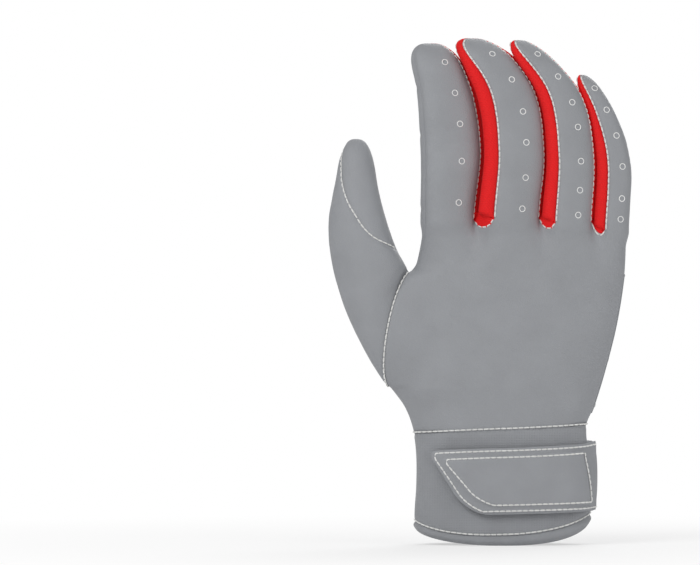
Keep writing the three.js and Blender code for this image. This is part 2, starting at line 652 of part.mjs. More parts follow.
const hemFold = { thickness: HEM_CLOTH, lift: () => HEM_PROUD, closed: true };
add("hem_binding", cuffSheet(0, 2, HEM_STEPS, HEM_ROWS, hemHeights, hemFold), CUFF_GREY);
const inside = { thickness: ELASTIC_THICKNESS, lift: () => -CUFF_CLOTH - LAYER_GAP };
const elastic = cuffSheet(...ELASTIC_TURNS, ELASTIC_STEPS, ELASTIC_ROWS, () => ELASTIC_HEIGHTS, inside);
add("wrist_elastic", elastic, TAPE_GREY);

// Heel pad: a grip overlay on the outside of the palm, up to the little finger's side.
const heelPadEdge = profile(HEEL_PAD_EDGE);
const HEEL_PAD_STEPS = 8;
function turnAt(x, z) {
  const across = (2 * (x - thumbSeam(z).x)) / (rightEdge(z) - thumbSeam(z).x) - 1;
  return Math.acos(-signedPower(clamp(across, -1, 1), 1 / HAND_ROUNDING)) / Math.PI;
}
add(
  "heel_pad",
  sheetOn({
    surface: ovalPoint,
    middle: ovalMiddle,
    rows: HEEL_PAD_EDGE.length,
    columns: HEEL_PAD_STEPS + 1,
    place: (i, j) => {
      const z = HEEL_PAD_EDGE[i][0];
      const start = Math.min(turnAt(heelPadEdge(z), z), HEEL_PAD_SIDE_TURN - HEEL_PAD_LEAST_TURN);
      return [2 - lerp(start, HEEL_PAD_SIDE_TURN, j / HEEL_PAD_STEPS), z];
    },
    thickness: HEEL_PAD_THICKNESS,
    lift: () => HEEL_PAD_THICKNESS + HEEL_PAD_CLEAR,
  }),
  GREY,
);

// Closing strap. A place on it is a share of its length from the root and a share of its height.
const strapEnd = (up) => lerp(STRAP_HEEL_X, STRAP_TIP_X, up ** STRAP_SLANT_CURVE);
function strapPlace(along, up, inset) {
  const low = lerp(STRAP_BOTTOM[1], STRAP_BOTTOM[0], along) + inset;
  const high = lerp(STRAP_TOP[1], STRAP_TOP[0], along) - inset;
  const z = lerp(low, high, up);
  const end = turnAt(strapEnd(up) + inset * END_INSET, z);
  return [lerp(STRAP_ROOT_TURN, end, along), z];
}
function strapSheet([alongFrom, alongTo], steps, inset, liftAt, thickness) {
  const ROWS = 5;
  return sheetOn({
    surface: ovalPoint,
    middle: ovalMiddle,
    rows: ROWS,
    columns: steps + 1,
    place: (i, j) => strapPlace(lerp(alongFrom, alongTo, j / steps), i / (ROWS - 1), inset),
    thickness,
    lift: (i, j) => liftAt(lerp(alongFrom, alongTo, j / steps)) + thickness,
  });
}

// Heights of the layers above the cuff. The strap lies on the cuff at its root and over the tapes
// further on.
const loopLift = () => LAYER_GAP;
const hookLift = () => TAPE + 2 * LAYER_GAP;
const strapLift = (along) =>
  lerp(2 * LAYER_GAP, 2 * TAPE + 3 * LAYER_GAP, smoothstep(along, ...STRAP_RISE));
const badgeLift = (along) => strapLift(along) + STRAP_LEATHER + LAYER_GAP;
add("loop_tape", strapSheet(LOOP_TAPE_SPAN, 7, TAPE_INSET, loopLift, TAPE), TAPE_GREY);
add("hook_tape", strapSheet(HOOK_TAPE_SPAN, 6, TAPE_INSET, hookLift, TAPE), TAPE_GREY);
add("strap", strapSheet([0, 1], 14, 0, strapLift, STRAP_LEATHER), GREY);
add("badge_panel", strapSheet(BADGE_SPAN, 12, BADGE_INSET, badgeLift, TAPE), GREY);

export default glove;
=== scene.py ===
# Looks of a batting glove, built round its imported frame.
# Shapes are worked out in millimetres and become metres in make_piece. +Z runs from the cuff to the
# fingertips, the back of the hand faces -Y, the palm faces +Y and the thumb is on the -X side.
import math

import bpy
import numpy as np
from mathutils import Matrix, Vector, kdtree, noise


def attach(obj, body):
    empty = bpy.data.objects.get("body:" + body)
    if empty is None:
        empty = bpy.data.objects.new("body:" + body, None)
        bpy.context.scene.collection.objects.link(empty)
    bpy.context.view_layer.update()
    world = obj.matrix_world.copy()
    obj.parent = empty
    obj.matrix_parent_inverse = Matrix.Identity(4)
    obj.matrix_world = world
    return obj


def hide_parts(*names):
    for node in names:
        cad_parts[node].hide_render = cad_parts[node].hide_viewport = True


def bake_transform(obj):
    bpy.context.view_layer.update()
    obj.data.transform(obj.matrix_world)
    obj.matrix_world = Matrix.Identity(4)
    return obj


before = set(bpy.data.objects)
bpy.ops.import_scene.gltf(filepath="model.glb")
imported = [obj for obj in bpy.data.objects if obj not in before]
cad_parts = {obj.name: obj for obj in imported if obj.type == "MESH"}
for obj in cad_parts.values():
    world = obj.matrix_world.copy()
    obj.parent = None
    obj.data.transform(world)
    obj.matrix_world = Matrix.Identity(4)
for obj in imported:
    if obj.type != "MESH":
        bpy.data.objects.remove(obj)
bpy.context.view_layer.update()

MM = 0.001

# Thicknesses and seams.
LEATHER = 1.1
STRETCH = 0.8
CUFF_CLOTH = 1.6
HEM_CLOTH = 2.4
STRAP_LEATHER = 1.5
BADGE = 0.8
SEAM_DEPTH = 0.75  # how far a panel's edge rolls inwards at a seam
SEAM_WIDTH = 1.25  # and over what distance
STITCH_INSET = 0.8  # distance of a row of stitches from its seam
STITCH_DROP = SEAM_DEPTH * math.exp(-((STITCH_INSET / SEAM_WIDTH) ** 2))  # how far the row sinks there
STITCH = 2.6
STITCH_GAP = 0.15
THREAD_RADIUS = 0.4
GRID = 0.85  # distance between two points of a panel's grid

# Fingers, from the thumb's side: lines from inside the hand, through the base, to the tip.
FINGER_ROLL = math.radians(16)
SEAM_TURNS = (-2, 0, 4, 6, 10, 12)  # turns round a finger, which Finger explains, and their angles
SEAM_ANGLES = np.radians((195, 140, 28, -42, -165, -220))  # up from a finger's far side
FINGER_ROUNDING = 0.8
TIP_CAP = 15
TIP_SLIMMING = 0.7  # power of a tip's dome sideways: less than 1 keeps the tip broad
MIDDLE_KNUCKLE = 0.47  # share of a finger's length
MIDDLE_WIDTH_AT = 0.45  # share of a finger's length where its second width is
LAST_WIDTH_AT = 0.8  # share of the tip's cap, down from the tip, where its last width is
FINGERS = {
    "index": dict(
        line=[(-27, -0.5, 125), (-27, -0.5, 157), (-25.2, 0.3, 190), (-28.1, 2.6, 218), (-35.4, 6, 242.4)],
        half_widths=(13.1, 15, 12.8),
        half_depths=(10, 9.4, 8.2),
        back_vents=(233, 218, 203, 185, 165),
        palm_vents=(231, 216, 200.5, 182, 165),
    ),
    "middle": dict(
        line=[(3.6, -2, 125), (3.6, -2, 158), (6.1, -1, 190), (1.5, 1.8, 220), (-15.5, 5.5, 244.8)],
        half_widths=(14, 14.1, 13.3),
        half_depths=(10.2, 9.6, 8.4),
        back_vents=(237, 224.5, 209, 194, 177, 162),
        palm_vents=(232, 214.5, 201, 185.5, 171),
    ),
    "ring": dict(
        line=[(31.1, -0.5, 125), (31.3, -0.5, 156), (32.8, 0.6, 188), (27.4, 3, 218), (7.4, 6.5, 243.9)],
        half_widths=(11.3, 10.9, 8.8),
        half_depths=(9.6, 9, 7.8),
        back_vents=(237, 226, 213.5, 201.5, 185, 171, 159),
        palm_vents=(228.5, 214.5, 200.5, 186, 167.5),
    ),
    "little": dict(
        line=[(51.7, 2.5, 122), (52.7, 2.5, 152), (53.7, 3.4, 186), (47.8, 5.4, 208), (38.2, 8, 227.2)],
        half_widths=(7.5, 7.3, 5.6),
        half_depths=(8.4, 8, 6.6),
        back_vents=(220.5, 210, 197.5, 182.5, 167, 157),
        palm_vents=(207.5, 188, 173.5),
    ),
}

# Thumb: its inner and outer edges from the seam to the tip, and its half depths along them.
THUMB_BOW = 6  # how far the thumb's seam bows out
THUMB_BOW_END = 2.5  # place along the thumb where the bow has faded
THUMB_HOLE_DEPTH = 11
THUMB_INNER = [
    (-45.3, 0, 132.1), (-46.3, 0, 132.8), (-47.8, -1, 135.5), (-51.6, -2, 142.2),
    (-55.9, -2, 153.8), (-59.8, -1, 167.5), (-62.3, 1, 181), (-64, 3.5, 196),
]
THUMB_OUTER = [
    (-55.4, 0, 75.7), (-67.5, 0, 95), (-78.1, 1, 118.1), (-84, 3, 143),
    (-84.4, 4, 157.6), (-82.4, 5, 168), (-80, 6, 181), (-78.5, 7.5, 196),
]
THUMB_HALF_DEPTHS = [(0, THUMB_HOLE_DEPTH), (1.5, 13), (3, 11.5), (4.5, 10), (6, 8.6), (7, 8)]
THUMB_BASE_AT = 3
THUMB_TIP_AT = 5
THUMB_CAP_AT = 6
THUMB_END = 7

# Hand and cuff in outline, as height and sideways pairs, and their half depths.
HAND_ROUNDING = 0.85  # power of the oval's sine and cosine: under 1 makes it squarer
FINGER_MERGE = 26  # length over which a finger's base merges into the hand's oval
LEFT_EDGE = [(0, -42.6), (14.5, -43.2), (28, -42.4), (43, -42.4), (54.5, -43.9), (66, -48.2), (75.7, -55.4)]
LEFT_EDGE_ABOVE_THUMB = [(132.1, -45.3), (136, -42.8), (146, -41.2), (158, -39.8)]
RIGHT_EDGE = [
    (0, 41.4), (14.5, 42), (28, 42.9), (43, 41.5), (56, 40.2), (66, 43.9), (83, 49.2),
    (106, 55), (130, 58.8), (152, 60.6), (158, 61),
]
BACK_DEPTH = [(0, 17.5), (28, 16.5), (56, 15.5), (85, 15), (112, 13.8), (140, 11.8), (158, 10.2)]
PALM_DEPTH = [(0, 17.5), (28, 16.5), (56, 15.8), (85, 17.2), (112, 15.6), (140, 12.4), (158, 10.2)]
THUMB_HOLE = (75.7, 132.1)  # heights of the ends of the thumb's seam
WRIST_HEIGHT = 55.4
WRIST_TILT = 2  # how much higher the wrist's seam is at the little finger's side than in the middle
WRIST_PALM_DIP = 6.2
HEM_TILT = 1.7
HEM_SIDE_HEIGHT = 13
HEM_DIP = 8.4
HEM_ROUNDING = 1.5  # powers of the sine that the hem and the mouth dip by
MOUTH_SIDE_HEIGHT = 9.3
MOUTH_ROUNDING = 1.2
WEB_SAG = 3.4  # depth of the rounded end of a red gusset below the fingers' bases
WEB_RISE = 6.5  # how far its floor rises between the back and the palm

# Closing strap.
STRAP_TOP = (45.8, 49.4)  # heights at the free end and at the root
STRAP_BOTTOM = (14.8, 17)
STRAP_TIP_X = -36
STRAP_HEEL_X = -17.5
STRAP_TOP_ROUND = 5
STRAP_HEEL_ROUND = 10
STRAP_ROOT_TURN = 0.998
STRAP_HINGE_X = 44.5
STRAP_RIDGE_X = 45.4  # how far out the ridge at its root reaches
STRAP_RIDGE_TURNS = (0.94, 1.05)
BADGE_INSET = 3.2
BADGE_FROM = 0.21  # share of the strap's length at which the badge panel starts
END_INSET = 1.6  # how many times further in a layer lies at the slanted end

# Grip pad on the heel of the palm: its inner edge as height and sideways pairs, and its rings.
HEEL_PAD_EDGE = [
    (63.4, 39), (70, 28.4), (80, 11.2), (88, -2.4), (94, -8.8), (101, -10.6), (108, -8.4),
    (118, 2.2), (126.4, 11.4), (130.6, 19.5),
]
HEEL_PAD_SIDE_TURN = 0.97
HEEL_PAD_THICKNESS = 1.5
RING_PITCH = 5.2
RING_ROW = 4.43
RING_RADIUS = 1.4
RING_WIRE = 0.22
RING_MARGIN = 2.6  # least distance of a ring's middle from the pad's edge


def lerp(a, b, share):
    return a + (b - a) * share


def smoothstep(value, low, high):
    share = np.clip((value - low) / (high - low), 0, 1)
    return share * share * (3 - 2 * share)


def signed_power(value, power):
    return np.sign(value) * np.abs(value) ** power


def unit(vectors):
    return vectors / np.maximum(np.linalg.norm(vectors, axis=-1, keepdims=True), 1e-9)


def arch(share, power=1):
    """0 at both ends and 1 in the middle; a power under 1 makes it fuller."""
    return np.sin(np.pi * share).clip(0) ** power


def raised(points, normals, height):
    return points + normals * np.asarray(height)[..., None]


def dome(into):
    """Share of a section that is left at a share of the way into a rounded tip."""
    into = np.clip(into, 0, 1)
    return np.sqrt(1 - into * into)


def surface_normals(surface, turn, along, steps, inside):
    """Normals of a surface, a function of a turn and a place along it, away from the points inside."""
    turn_step, along_step = steps
    around = surface(turn + turn_step, along) - surface(turn - turn_step, along)
    ahead = surface(turn, along + along_step) - surface(turn, along - along_step)
    normal = unit(np.cross(around, ahead))
    outwards = np.sum(normal * (surface(turn, along) - inside), axis=-1, keepdims=True)
    return normal * np.sign(outwards)


def measure(line):
    """Lengths along a line of points."""
    return np.concatenate([[0], np.cumsum(np.linalg.norm(np.diff(line, axis=0), axis=1))])


def along_line(values, lengths, at):
    """Values on a line at some lengths along it."""
    return np.stack([np.interp(at, lengths, values[:, axis]) for axis in range(3)], axis=-1)


def profile(pairs):
    """A smooth function through pairs of a position and a value."""
    at, value = np.array(pairs, float).T
    last = len(at) - 1
    before = np.maximum(np.arange(last + 1) - 1, 0)
    after = np.minimum(np.arange(last + 1) + 1, last)
    slope = (value[after] - value[before]) / (at[after] - at[before])

    def curve(position):
        inside = np.clip(position, at[0], at[-1])
        i = np.clip(np.searchsorted(at, inside) - 1, 0, last - 1)
        span = at[i + 1] - at[i]
        u = (inside - at[i]) / span
        rise = u * u * (3 - 2 * u)
        bend = slope[i] * u * (1 - u) ** 2 - slope[i + 1] * u * u * (1 - u)
        return lerp(value[i], value[i + 1], rise) + span * bend

    return curve


def curve_through(points):
    """A centripetal curve through points, as a function of the share of its knots that is passed."""
    knots = np.array(points, float)
    last = len(knots) - 1
    padded = np.vstack([2 * knots[0] - knots[1], knots, 2 * knots[-1] - knots[-2]])

    def at(share):
        place = np.clip(share, 0, 1) * last
        i = np.minimum(np.asarray(place).astype(int), last - 1)
        u = np.asarray(place - i)[..., None]
        p0, p1, p2, p3 = (padded[i + k] for k in range(4))
        steps = (p1 - p0, p2 - p1, p3 - p2)
        d0, d1, d2 = (np.sqrt(np.linalg.norm(step, axis=-1, keepdims=True)) for step in steps)
        start = ((p1 - p0) / d0 - (p2 - p0) / (d0 + d1) + (p2 - p1) / d1) * d1
        end = ((p2 - p1) / d1 - (p3 - p1) / (d1 + d2) + (p3 - p2) / d2) * d1
        square = 3 * (p2 - p1) - 2 * start - end
        cube = 2 * (p1 - p2) + start + end
        return p1 + start * u + square * u**2 + cube * u**3

    return at


FINGER_SIDE = np.array([math.cos(FINGER_ROLL), math.sin(FINGER_ROLL), 0])
FINGER_BACK = np.array([math.sin(FINGER_ROLL), -math.cos(FINGER_ROLL), 0])


class Finger:
    """A finger's surface. The turn counts twelve stations: 0 to 4 cross the back from the thumb's side,
    6 to 10 cross the palm side back, and the seams lie at 0, 4, 6 and 10. The length starts at the base."""

    SAMPLES = 400
    NORMAL_STEPS = (0.01, 0.01)  # in turn and length

    def __init__(self, name, line, half_widths, half_depths, back_vents, palm_vents):
        self.name = name
        self.vents = {"back": back_vents, "palm": palm_vents}
        self.samples = curve_through(line)(np.linspace(0, 1, self.SAMPLES + 1))
        lengths = measure(self.samples)
        self.lengths = lengths - lengths[self.SAMPLES // (len(line) - 1)]
        self.length = self.lengths[-1]
        stations = (0, self.length * MIDDLE_WIDTH_AT, self.length - TIP_CAP * LAST_WIDTH_AT)
        self.half_width = profile(list(zip(stations, half_widths)))
        self.half_depth = profile(list(zip(stations, half_depths)))
        self.knuckle = self.length * MIDDLE_KNUCKLE

    def line(self, s):
        return along_line(self.samples, self.lengths, s)

    def length_at_height(self, z):
        return np.interp(z, self.samples[:, 2], self.lengths)

    def points(self, turn, s):
        """Points on the finger; its sections lie level."""
        turn, s = np.broadcast_arrays(np.asarray(turn, float), np.asarray(s, float))
        tip = dome((s - self.length + TIP_CAP) / TIP_CAP)
        angle = np.interp(turn, SEAM_TURNS, SEAM_ANGLES)
        across = self.half_width(s) * tip**TIP_SLIMMING * signed_power(np.cos(angle), FINGER_ROUNDING)
        out = self.half_depth(s) * tip * signed_power(np.sin(angle), FINGER_ROUNDING)
        return self.line(s) + FINGER_SIDE * across[..., None] + FINGER_BACK * out[..., None]

    def normals(self, turn, s):
        return surface_normals(self.points, turn, s, self.NORMAL_STEPS, self.line(s))


FINGER_LIST = [Finger(name, **shape) for name, shape in FINGERS.items()]
LAST_FINGER = len(FINGER_LIST) - 1

left_below = profile(LEFT_EDGE)
left_above = profile(LEFT_EDGE_ABOVE_THUMB)
right_edge = profile(RIGHT_EDGE)
back_depth = profile(BACK_DEPTH)
palm_depth = profile(PALM_DEPTH)


def thumb_seam(z):
    """How far out the thumb's seam lies at a height, and how far from the middle of the hand's depth."""
    low, high = THUMB_HOLE
    cosine = np.clip((2 * z - low - high) / (high - low), -1, 1)
    sine = np.sqrt(1 - cosine * cosine)
    in_hole = lerp(THUMB_OUTER[0][0], THUMB_INNER[0][0], (cosine + 1) / 2) - THUMB_BOW * sine
    x = np.where(z <= low, left_below(z), np.where(z >= high, left_above(z), in_hole))
    return x, THUMB_HOLE_DEPTH * sine


def oval_points(turn, z):
    """Points on the hand's oval. The turn runs from 0 at the thumb's side across the back to 1 at the
    little finger's side, and across the palm to 2."""
    turn, z = np.broadcast_arrays(np.asarray(turn, float), np.asarray(z, float))
    left, edge_depth = thumb_seam(z)
    wrapped = np.mod(turn, 2)
    on_back = wrapped <= 1
    share = (1 - signed_power(np.cos(np.pi * wrapped), HAND_ROUNDING)) / 2
    round_off = np.abs(np.sin(np.pi * wrapped)) ** HAND_ROUNDING
    gentle = 1 - (1 - 2 * np.minimum(share, 0.5)) ** 2
    near_thumb = np.where(share < 0.5, edge_depth / THUMB_HOLE_DEPTH, 0)
    round_off = lerp(round_off, gentle, near_thumb)
    open_depth = edge_depth * (1 - share) ** 2
    full = np.where(on_back, back_depth(z), palm_depth(z))
    depth = open_depth + (full - open_depth) * round_off
    return np.stack([lerp(left, right_edge(z), share), np.where(on_back, -depth, depth), z], axis=-1)


OVAL_STEPS = (0.002, 0.1)  # in turn and height


def oval_normals(turn, z):
    middle = np.stack([(thumb_seam(z)[0] + right_edge(z)) / 2, np.zeros_like(z), z], axis=-1)
    return surface_normals(oval_points, turn, z, OVAL_STEPS, middle)


def turn_at(x, z):
    """The turn on the back that lies at a sideways place."""
    left = thumb_seam(z)[0]
    across = np.clip(2 * (x - left) / (right_edge(z) - left) - 1, -1, 1)
    return np.arccos(-signed_power(across, 1 / HAND_ROUNDING)) / np.pi


def across_at(turn):
    """-1 at the thumb's side and 1 at the little finger's."""
    return -np.cos(np.pi * turn)


def wrist_height(turn):
    across = across_at(turn)
    dip = np.where(np.mod(turn, 2) > 1, WRIST_PALM_DIP * (1 - across * across), 0)
    return WRIST_HEIGHT + WRIST_TILT * across - dip


def hem_height(turn):
    dip = HEM_DIP * np.abs(np.sin(np.pi * turn)) ** HEM_ROUNDING
    return HEM_SIDE_HEIGHT + HEM_TILT * across_at(turn) - dip


def mouth_height(turn):
    side = MOUTH_SIDE_HEIGHT + HEM_TILT * across_at(turn)
    return side * (1 - np.abs(np.sin(np.pi * turn)) ** MOUTH_ROUNDING)


thumb_inner = curve_through(THUMB_INNER)
thumb_outer = curve_through(THUMB_OUTER)
thumb_depth = profile(THUMB_HALF_DEPTHS)


def thumb_middle(place):
    share = np.asarray(place, float) / THUMB_END
    return (thumb_inner(share) + thumb_outer(share)) / 2


def thumb_points(turn, place):
    """Points on the thumb. The turn runs from 0 at its inner edge across the back to 1 at its outer edge,
    and across the palm side to 2; the place counts the knots of its edges."""
    turn, place = np.broadcast_arrays(np.asarray(turn, float), np.asarray(place, float))
    inner = thumb_inner(place / THUMB_END)
    outer = thumb_outer(place / THUMB_END)
    tip = dome((place - THUMB_CAP_AT) / (THUMB_END - THUMB_CAP_AT))
    half = (inner - outer) / 2
    back = unit(np.stack([half[..., 1], -half[..., 0], np.zeros_like(place)], axis=-1))
    cosine, sine = np.cos(np.pi * turn), np.sin(np.pi * turn)
    bow = THUMB_BOW * np.abs(sine) * (1 - smoothstep(place, 0, THUMB_BOW_END))
    points = (inner + outer) / 2 + half * (cosine * tip**TIP_SLIMMING)[..., None]
    points = points + back * (thumb_depth(place) * tip * sine)[..., None]
    points[..., 0] -= bow
    return points


def grid_normals(points, inside, closed=False):
    """Normals of a grid of points, away from the points inside. A closed grid joins its last column to
    its first."""
    if closed:
        around = np.roll(points, -1, axis=1) - np.roll(points, 1, axis=1)
    else:
        around = np.gradient(points, axis=1)
    normal = unit(np.cross(around, np.gradient(points, axis=0)))
    side = np.sum(normal * (points - inside), axis=-1)
    return normal * np.sign(np.median(side))


def press(points, normals, places, depth, width):
    """Pushes a grid inwards near some places, with a soft edge."""
    tree = kdtree.KDTree(len(places))
    for k, place in enumerate(places):
        tree.insert(Vector(place), k)
    tree.balance()
    distance = np.array([tree.find(Vector(point))[2] for point in points.reshape(-1, 3)])
    return raised(points, normals, -depth * np.exp(-((distance.reshape(points.shape[:2]) / width) ** 2)))


HAND_RELIEF = (0.3, 22)  # depth and size of the rises and hollows of the hand's leather
FINGER_RELIEF = (0.16, 15)
THUMB_RELIEF = (0.2, 16)
FINE_RELIEF = (0.4, 0.35)  # shares of that depth and size that a second, finer relief has
BASE_RELIEF_END = 10  # length along a finger where its own relief has taken over from the hand's


def relief_at(points, relief):
    depth, size = relief
    fine_depth, fine_size = FINE_RELIEF
    places = [Vector(point) for point in points.reshape(-1, 3)]
    rise = [noise.noise(p / size) + fine_depth * noise.noise(p / (size * fine_size)) for p in places]
    return depth * np.array(rise).reshape(points.shape[:-1])


def soft_relief(points, normals, relief):
    """Slow, small rises and hollows, as leather that has been worn has them."""
    return raised(points, normals, relief_at(points, relief))


def finger_relief(points, normals, lengths):
    """The same on a finger: at its base it has the hand's relief, and its own further on."""
    own = smoothstep(lengths, 0, BASE_RELIEF_END)
    rise = lerp(relief_at(points, HAND_RELIEF), relief_at(points, FINGER_RELIEF), own)
    return raised(points, normals, rise)


def smooth_across(points, weight, spread=7):
    """Evens a grid out along its rows, by a weight for each point; the ends of the rows stay in place."""
    reach = 3 * spread
    kernel = np.exp(-0.5 * (np.arange(-reach, reach + 1) / spread) ** 2)
    kernel /= np.sum(kernel)
    padded = np.pad(points, ((0, 0), (reach, reach), (0, 0)), mode="reflect", reflect_type="odd")
    even = sum(share * padded[:, k : k + points.shape[1]] for k, share in enumerate(kernel))
    return lerp(points, even, weight[..., None])


SHARP_EDGE = 38  # degrees between two faces from which their edge stays sharp
THREAD_SHARP_EDGE = 80


def add_object(name, data):
    made = bpy.data.objects.new(name, data)
    bpy.context.scene.collection.objects.link(made)
    return made


def make_piece(name, vertices, faces, material, sharp=SHARP_EDGE):
    mesh = bpy.data.meshes.new(name)
    mesh.from_pydata((np.asarray(vertices) * MM).tolist(), [], faces)
    mesh.shade_smooth()
    mesh.set_sharp_from_angle(angle=math.radians(sharp))
    mesh.materials.append(material)
    piece = add_object(name, mesh)
    return piece


def sheet(name, points, normals, thickness, material, closed=False):
    """A closed solid of even thickness, whose outer face is a grid of points."""
    rows, columns = points.shape[:2]
    inner_points = points - normals * thickness
    vertices = np.concatenate([points.reshape(-1, 3), inner_points.reshape(-1, 3)])
    number = np.arange(rows * columns).reshape(rows, columns)
    if closed:
        number = np.hstack([number, number[:, :1]])
    inner = number + rows * columns

    def quads(a, b, c, d):
        return np.stack([a, b, c, d], axis=-1).reshape(-1, 4).tolist()

    def strip(first, second):
        return quads(first[:-1], first[1:], second[1:], second[:-1])

    faces = quads(number[:-1, :-1], number[:-1, 1:], number[1:, 1:], number[1:, :-1])
    faces += quads(inner[:-1, :-1], inner[1:, :-1], inner[1:, 1:], inner[:-1, 1:])
    faces += strip(inner[0], number[0]) + strip(number[-1], inner[-1])
    if not closed:
        faces += strip(number[:, 0], inner[:, 0]) + strip(inner[:, -1], number[:, -1])
    corner = np.cross(points[0, 1] - points[0, 0], points[1, 0] - points[0, 0])
    if np.dot(corner, normals[0, 0]) < 0:
        faces = [face[::-1] for face in faces]
    return make_piece(name, vertices, faces, material)


STITCH_STATIONS = np.array([0, 0.22, 0.5, 0.78, 1])
STITCH_SWELL = np.array([0.7, 1, 1, 1, 0.7])
STITCH_RISE = np.array([-0.15, 0.4, 0.55, 0.4, -0.15])
THREAD_SIDES = 6


def stitch_row(points, normals):
    """Vertices of the stitches along a line on a surface, five rings of six for each stitch."""
    lengths = measure(points)
    count = max(1, int(lengths[-1] / (STITCH + STITCH_GAP)))
    pitch = lengths[-1] / count
    starts = np.arange(count) * pitch + STITCH_GAP / 2
    at = starts[:, None] + STITCH_STATIONS * (pitch - STITCH_GAP)
    centre = along_line(points, lengths, at)
    up = unit(along_line(normals, lengths, at))
    along = unit(centre[:, -1] - centre[:, 0])[:, None]
    side = unit(np.cross(along, up))
    centre = centre + up * (STITCH_RISE * THREAD_RADIUS)[None, :, None]
    angle = np.arange(THREAD_SIDES) * 2 * np.pi / THREAD_SIDES
    radius = THREAD_RADIUS * STITCH_SWELL[None, :, None, None]
    ring = side[:, :, None] * np.cos(angle)[:, None] + up[:, :, None] * np.sin(angle)[:, None]
    return (centre[:, :, None] + ring * radius).reshape(-1, 3)


def stitches(name, rows):
    """One piece with the white stitches of several rows, each a line of points with its normals."""
    vertices = np.concatenate([stitch_row(points, normals) for points, normals in rows])
    rings = len(STITCH_STATIONS)
    faces = []
    for start in range(0, len(vertices), rings * THREAD_SIDES):
        for low in range(start, start + (rings - 1) * THREAD_SIDES, THREAD_SIDES):
            high = low + THREAD_SIDES
            for j in range(THREAD_SIDES):
                k = (j + 1) % THREAD_SIDES
                faces.append((low + j, low + k, high + k, high + j))
        faces.append(tuple(start + j for j in reversed(range(THREAD_SIDES))))
        faces.append(tuple(start + (rings - 1) * THREAD_SIDES + j for j in range(THREAD_SIDES)))
    return make_piece(name, vertices, faces, WHITE_THREAD, THREAD_SHARP_EDGE)


RING_STATIONS = 18
WIRE_SIDES = 6
RING_UP = (0.0, 0.3, 1.0)  # a direction that no ring faces


def rings_on(name, centres, normals):
    """One piece with a raised white ring at each centre."""
    vertices, faces = [], []
    for centre, normal in zip(centres, normals):
        side = unit(np.cross(normal, RING_UP))
        along = np.cross(normal, side)
        start = len(vertices)
        for i in range(RING_STATIONS):
            turn = 2 * math.pi * i / RING_STATIONS
            out = side * math.cos(turn) + along * math.sin(turn)
            a = start + i * WIRE_SIDES
            b = start + (i + 1) % RING_STATIONS * WIRE_SIDES
            for j in range(WIRE_SIDES):
                tilt = 2 * math.pi * j / WIRE_SIDES
                outwards = out * (RING_RADIUS + RING_WIRE * math.cos(tilt))
                vertices.append(centre + outwards + normal * RING_WIRE * math.sin(tilt))
                k = (j + 1) % WIRE_SIDES
                faces.append((a + j, b + j, b + k, a + k))
    return make_piece(name, vertices, faces, WHITE_RUBBER, THREAD_SHARP_EDGE)


def metres(point):
    return tuple(float(value) * MM for value in point)


# Materials.
GREY = (0.287, 0.296, 0.314)
RED = (0.79, 0.0125, 0.014)


def add_node(tree, kind, inputs=None, **settings):
    """Adds a node. Each of its inputs is a value or another node's socket."""
    made = tree.nodes.new(f"ShaderNode{kind}")
    for key, value in settings.items():
        setattr(made, key, value)
    for key, value in (inputs or {}).items():
        if isinstance(value, bpy.types.NodeSocket):
            tree.links.new(value, made.inputs[key])
        else:
            made.inputs[key].default_value = value
    return made


class Shader:
    """A principled material with short calls to add its nodes."""

    def __init__(self, name, colour, roughness, gloss=None):
        self.material = bpy.data.materials.new(name)
        self.material.use_nodes = True
        self.tree = self.material.node_tree
        self.surface = self.tree.nodes["Principled BSDF"]
        values = {"Base Color": (*colour, 1), "Roughness": roughness, **(gloss or {})}
        for key, value in values.items():
            self.surface.inputs[key].default_value = value
        self.place = add_node(self.tree, "TexCoord").outputs["Object"]

    def noise(self, size, detail=2.0):
        inputs = {"Vector": self.place, "Scale": 1 / size, "Detail": detail}
        return add_node(self.tree, "TexNoise", inputs).outputs["Fac"]

    def cells(self, size, feature="DISTANCE_TO_EDGE"):
        inputs = {"Vector": self.place, "Scale": 1 / size}
        return add_node(self.tree, "TexVoronoi", inputs, feature=feature).outputs["Distance"]

    def waves(self, size, direction):
        inputs = {"Vector": self.place, "Scale": math.pi / 10 / size}
        return add_node(self.tree, "TexWave", inputs, bands_direction=direction).outputs["Fac"]

    def math(self, operation, a, b):
        return add_node(self.tree, "Math", {0: a, 1: b}, operation=operation).outputs[0]

    def mixed(self, main, other, share):
        """One pattern with a share of another on it."""
        return self.math("ADD", main, self.math("MULTIPLY", other, share))

    def ramp(self, factor, low, high, start=0.0, end=1.0):
        inputs = {"Value": factor, "From Min": start, "From Max": end, "To Min": low, "To Max": high}
        return add_node(self.tree, "MapRange", inputs).outputs["Result"]

    def tint(self, factor, colour, dark, light):
        """A colour that runs from a darker to a lighter shade."""
        inputs = {"Factor": factor, "A": (*shade(colour, dark), 1), "B": (*shade(colour, light), 1)}
        return add_node(self.tree, "Mix", inputs, data_type="RGBA").outputs["Result"]

    def finish(self, height, depth, colour, roughness=None, strength=1.0):
        inputs = {"Height": height, "Distance": depth, "Strength": strength}
        bump = add_node(self.tree, "Bump", inputs)
        sockets = {"Normal": bump.outputs["Normal"], "Base Color": colour, "Roughness": roughness}
        for key, socket in sockets.items():
            if socket is not None:
                self.tree.links.new(socket, self.surface.inputs[key])
        return self.material


def shade(colour, factor):
    return tuple(channel * factor for channel in colour)


PATCHES = (0.3, 0.7)  # values of a slow noise between which a tone or a gloss changes


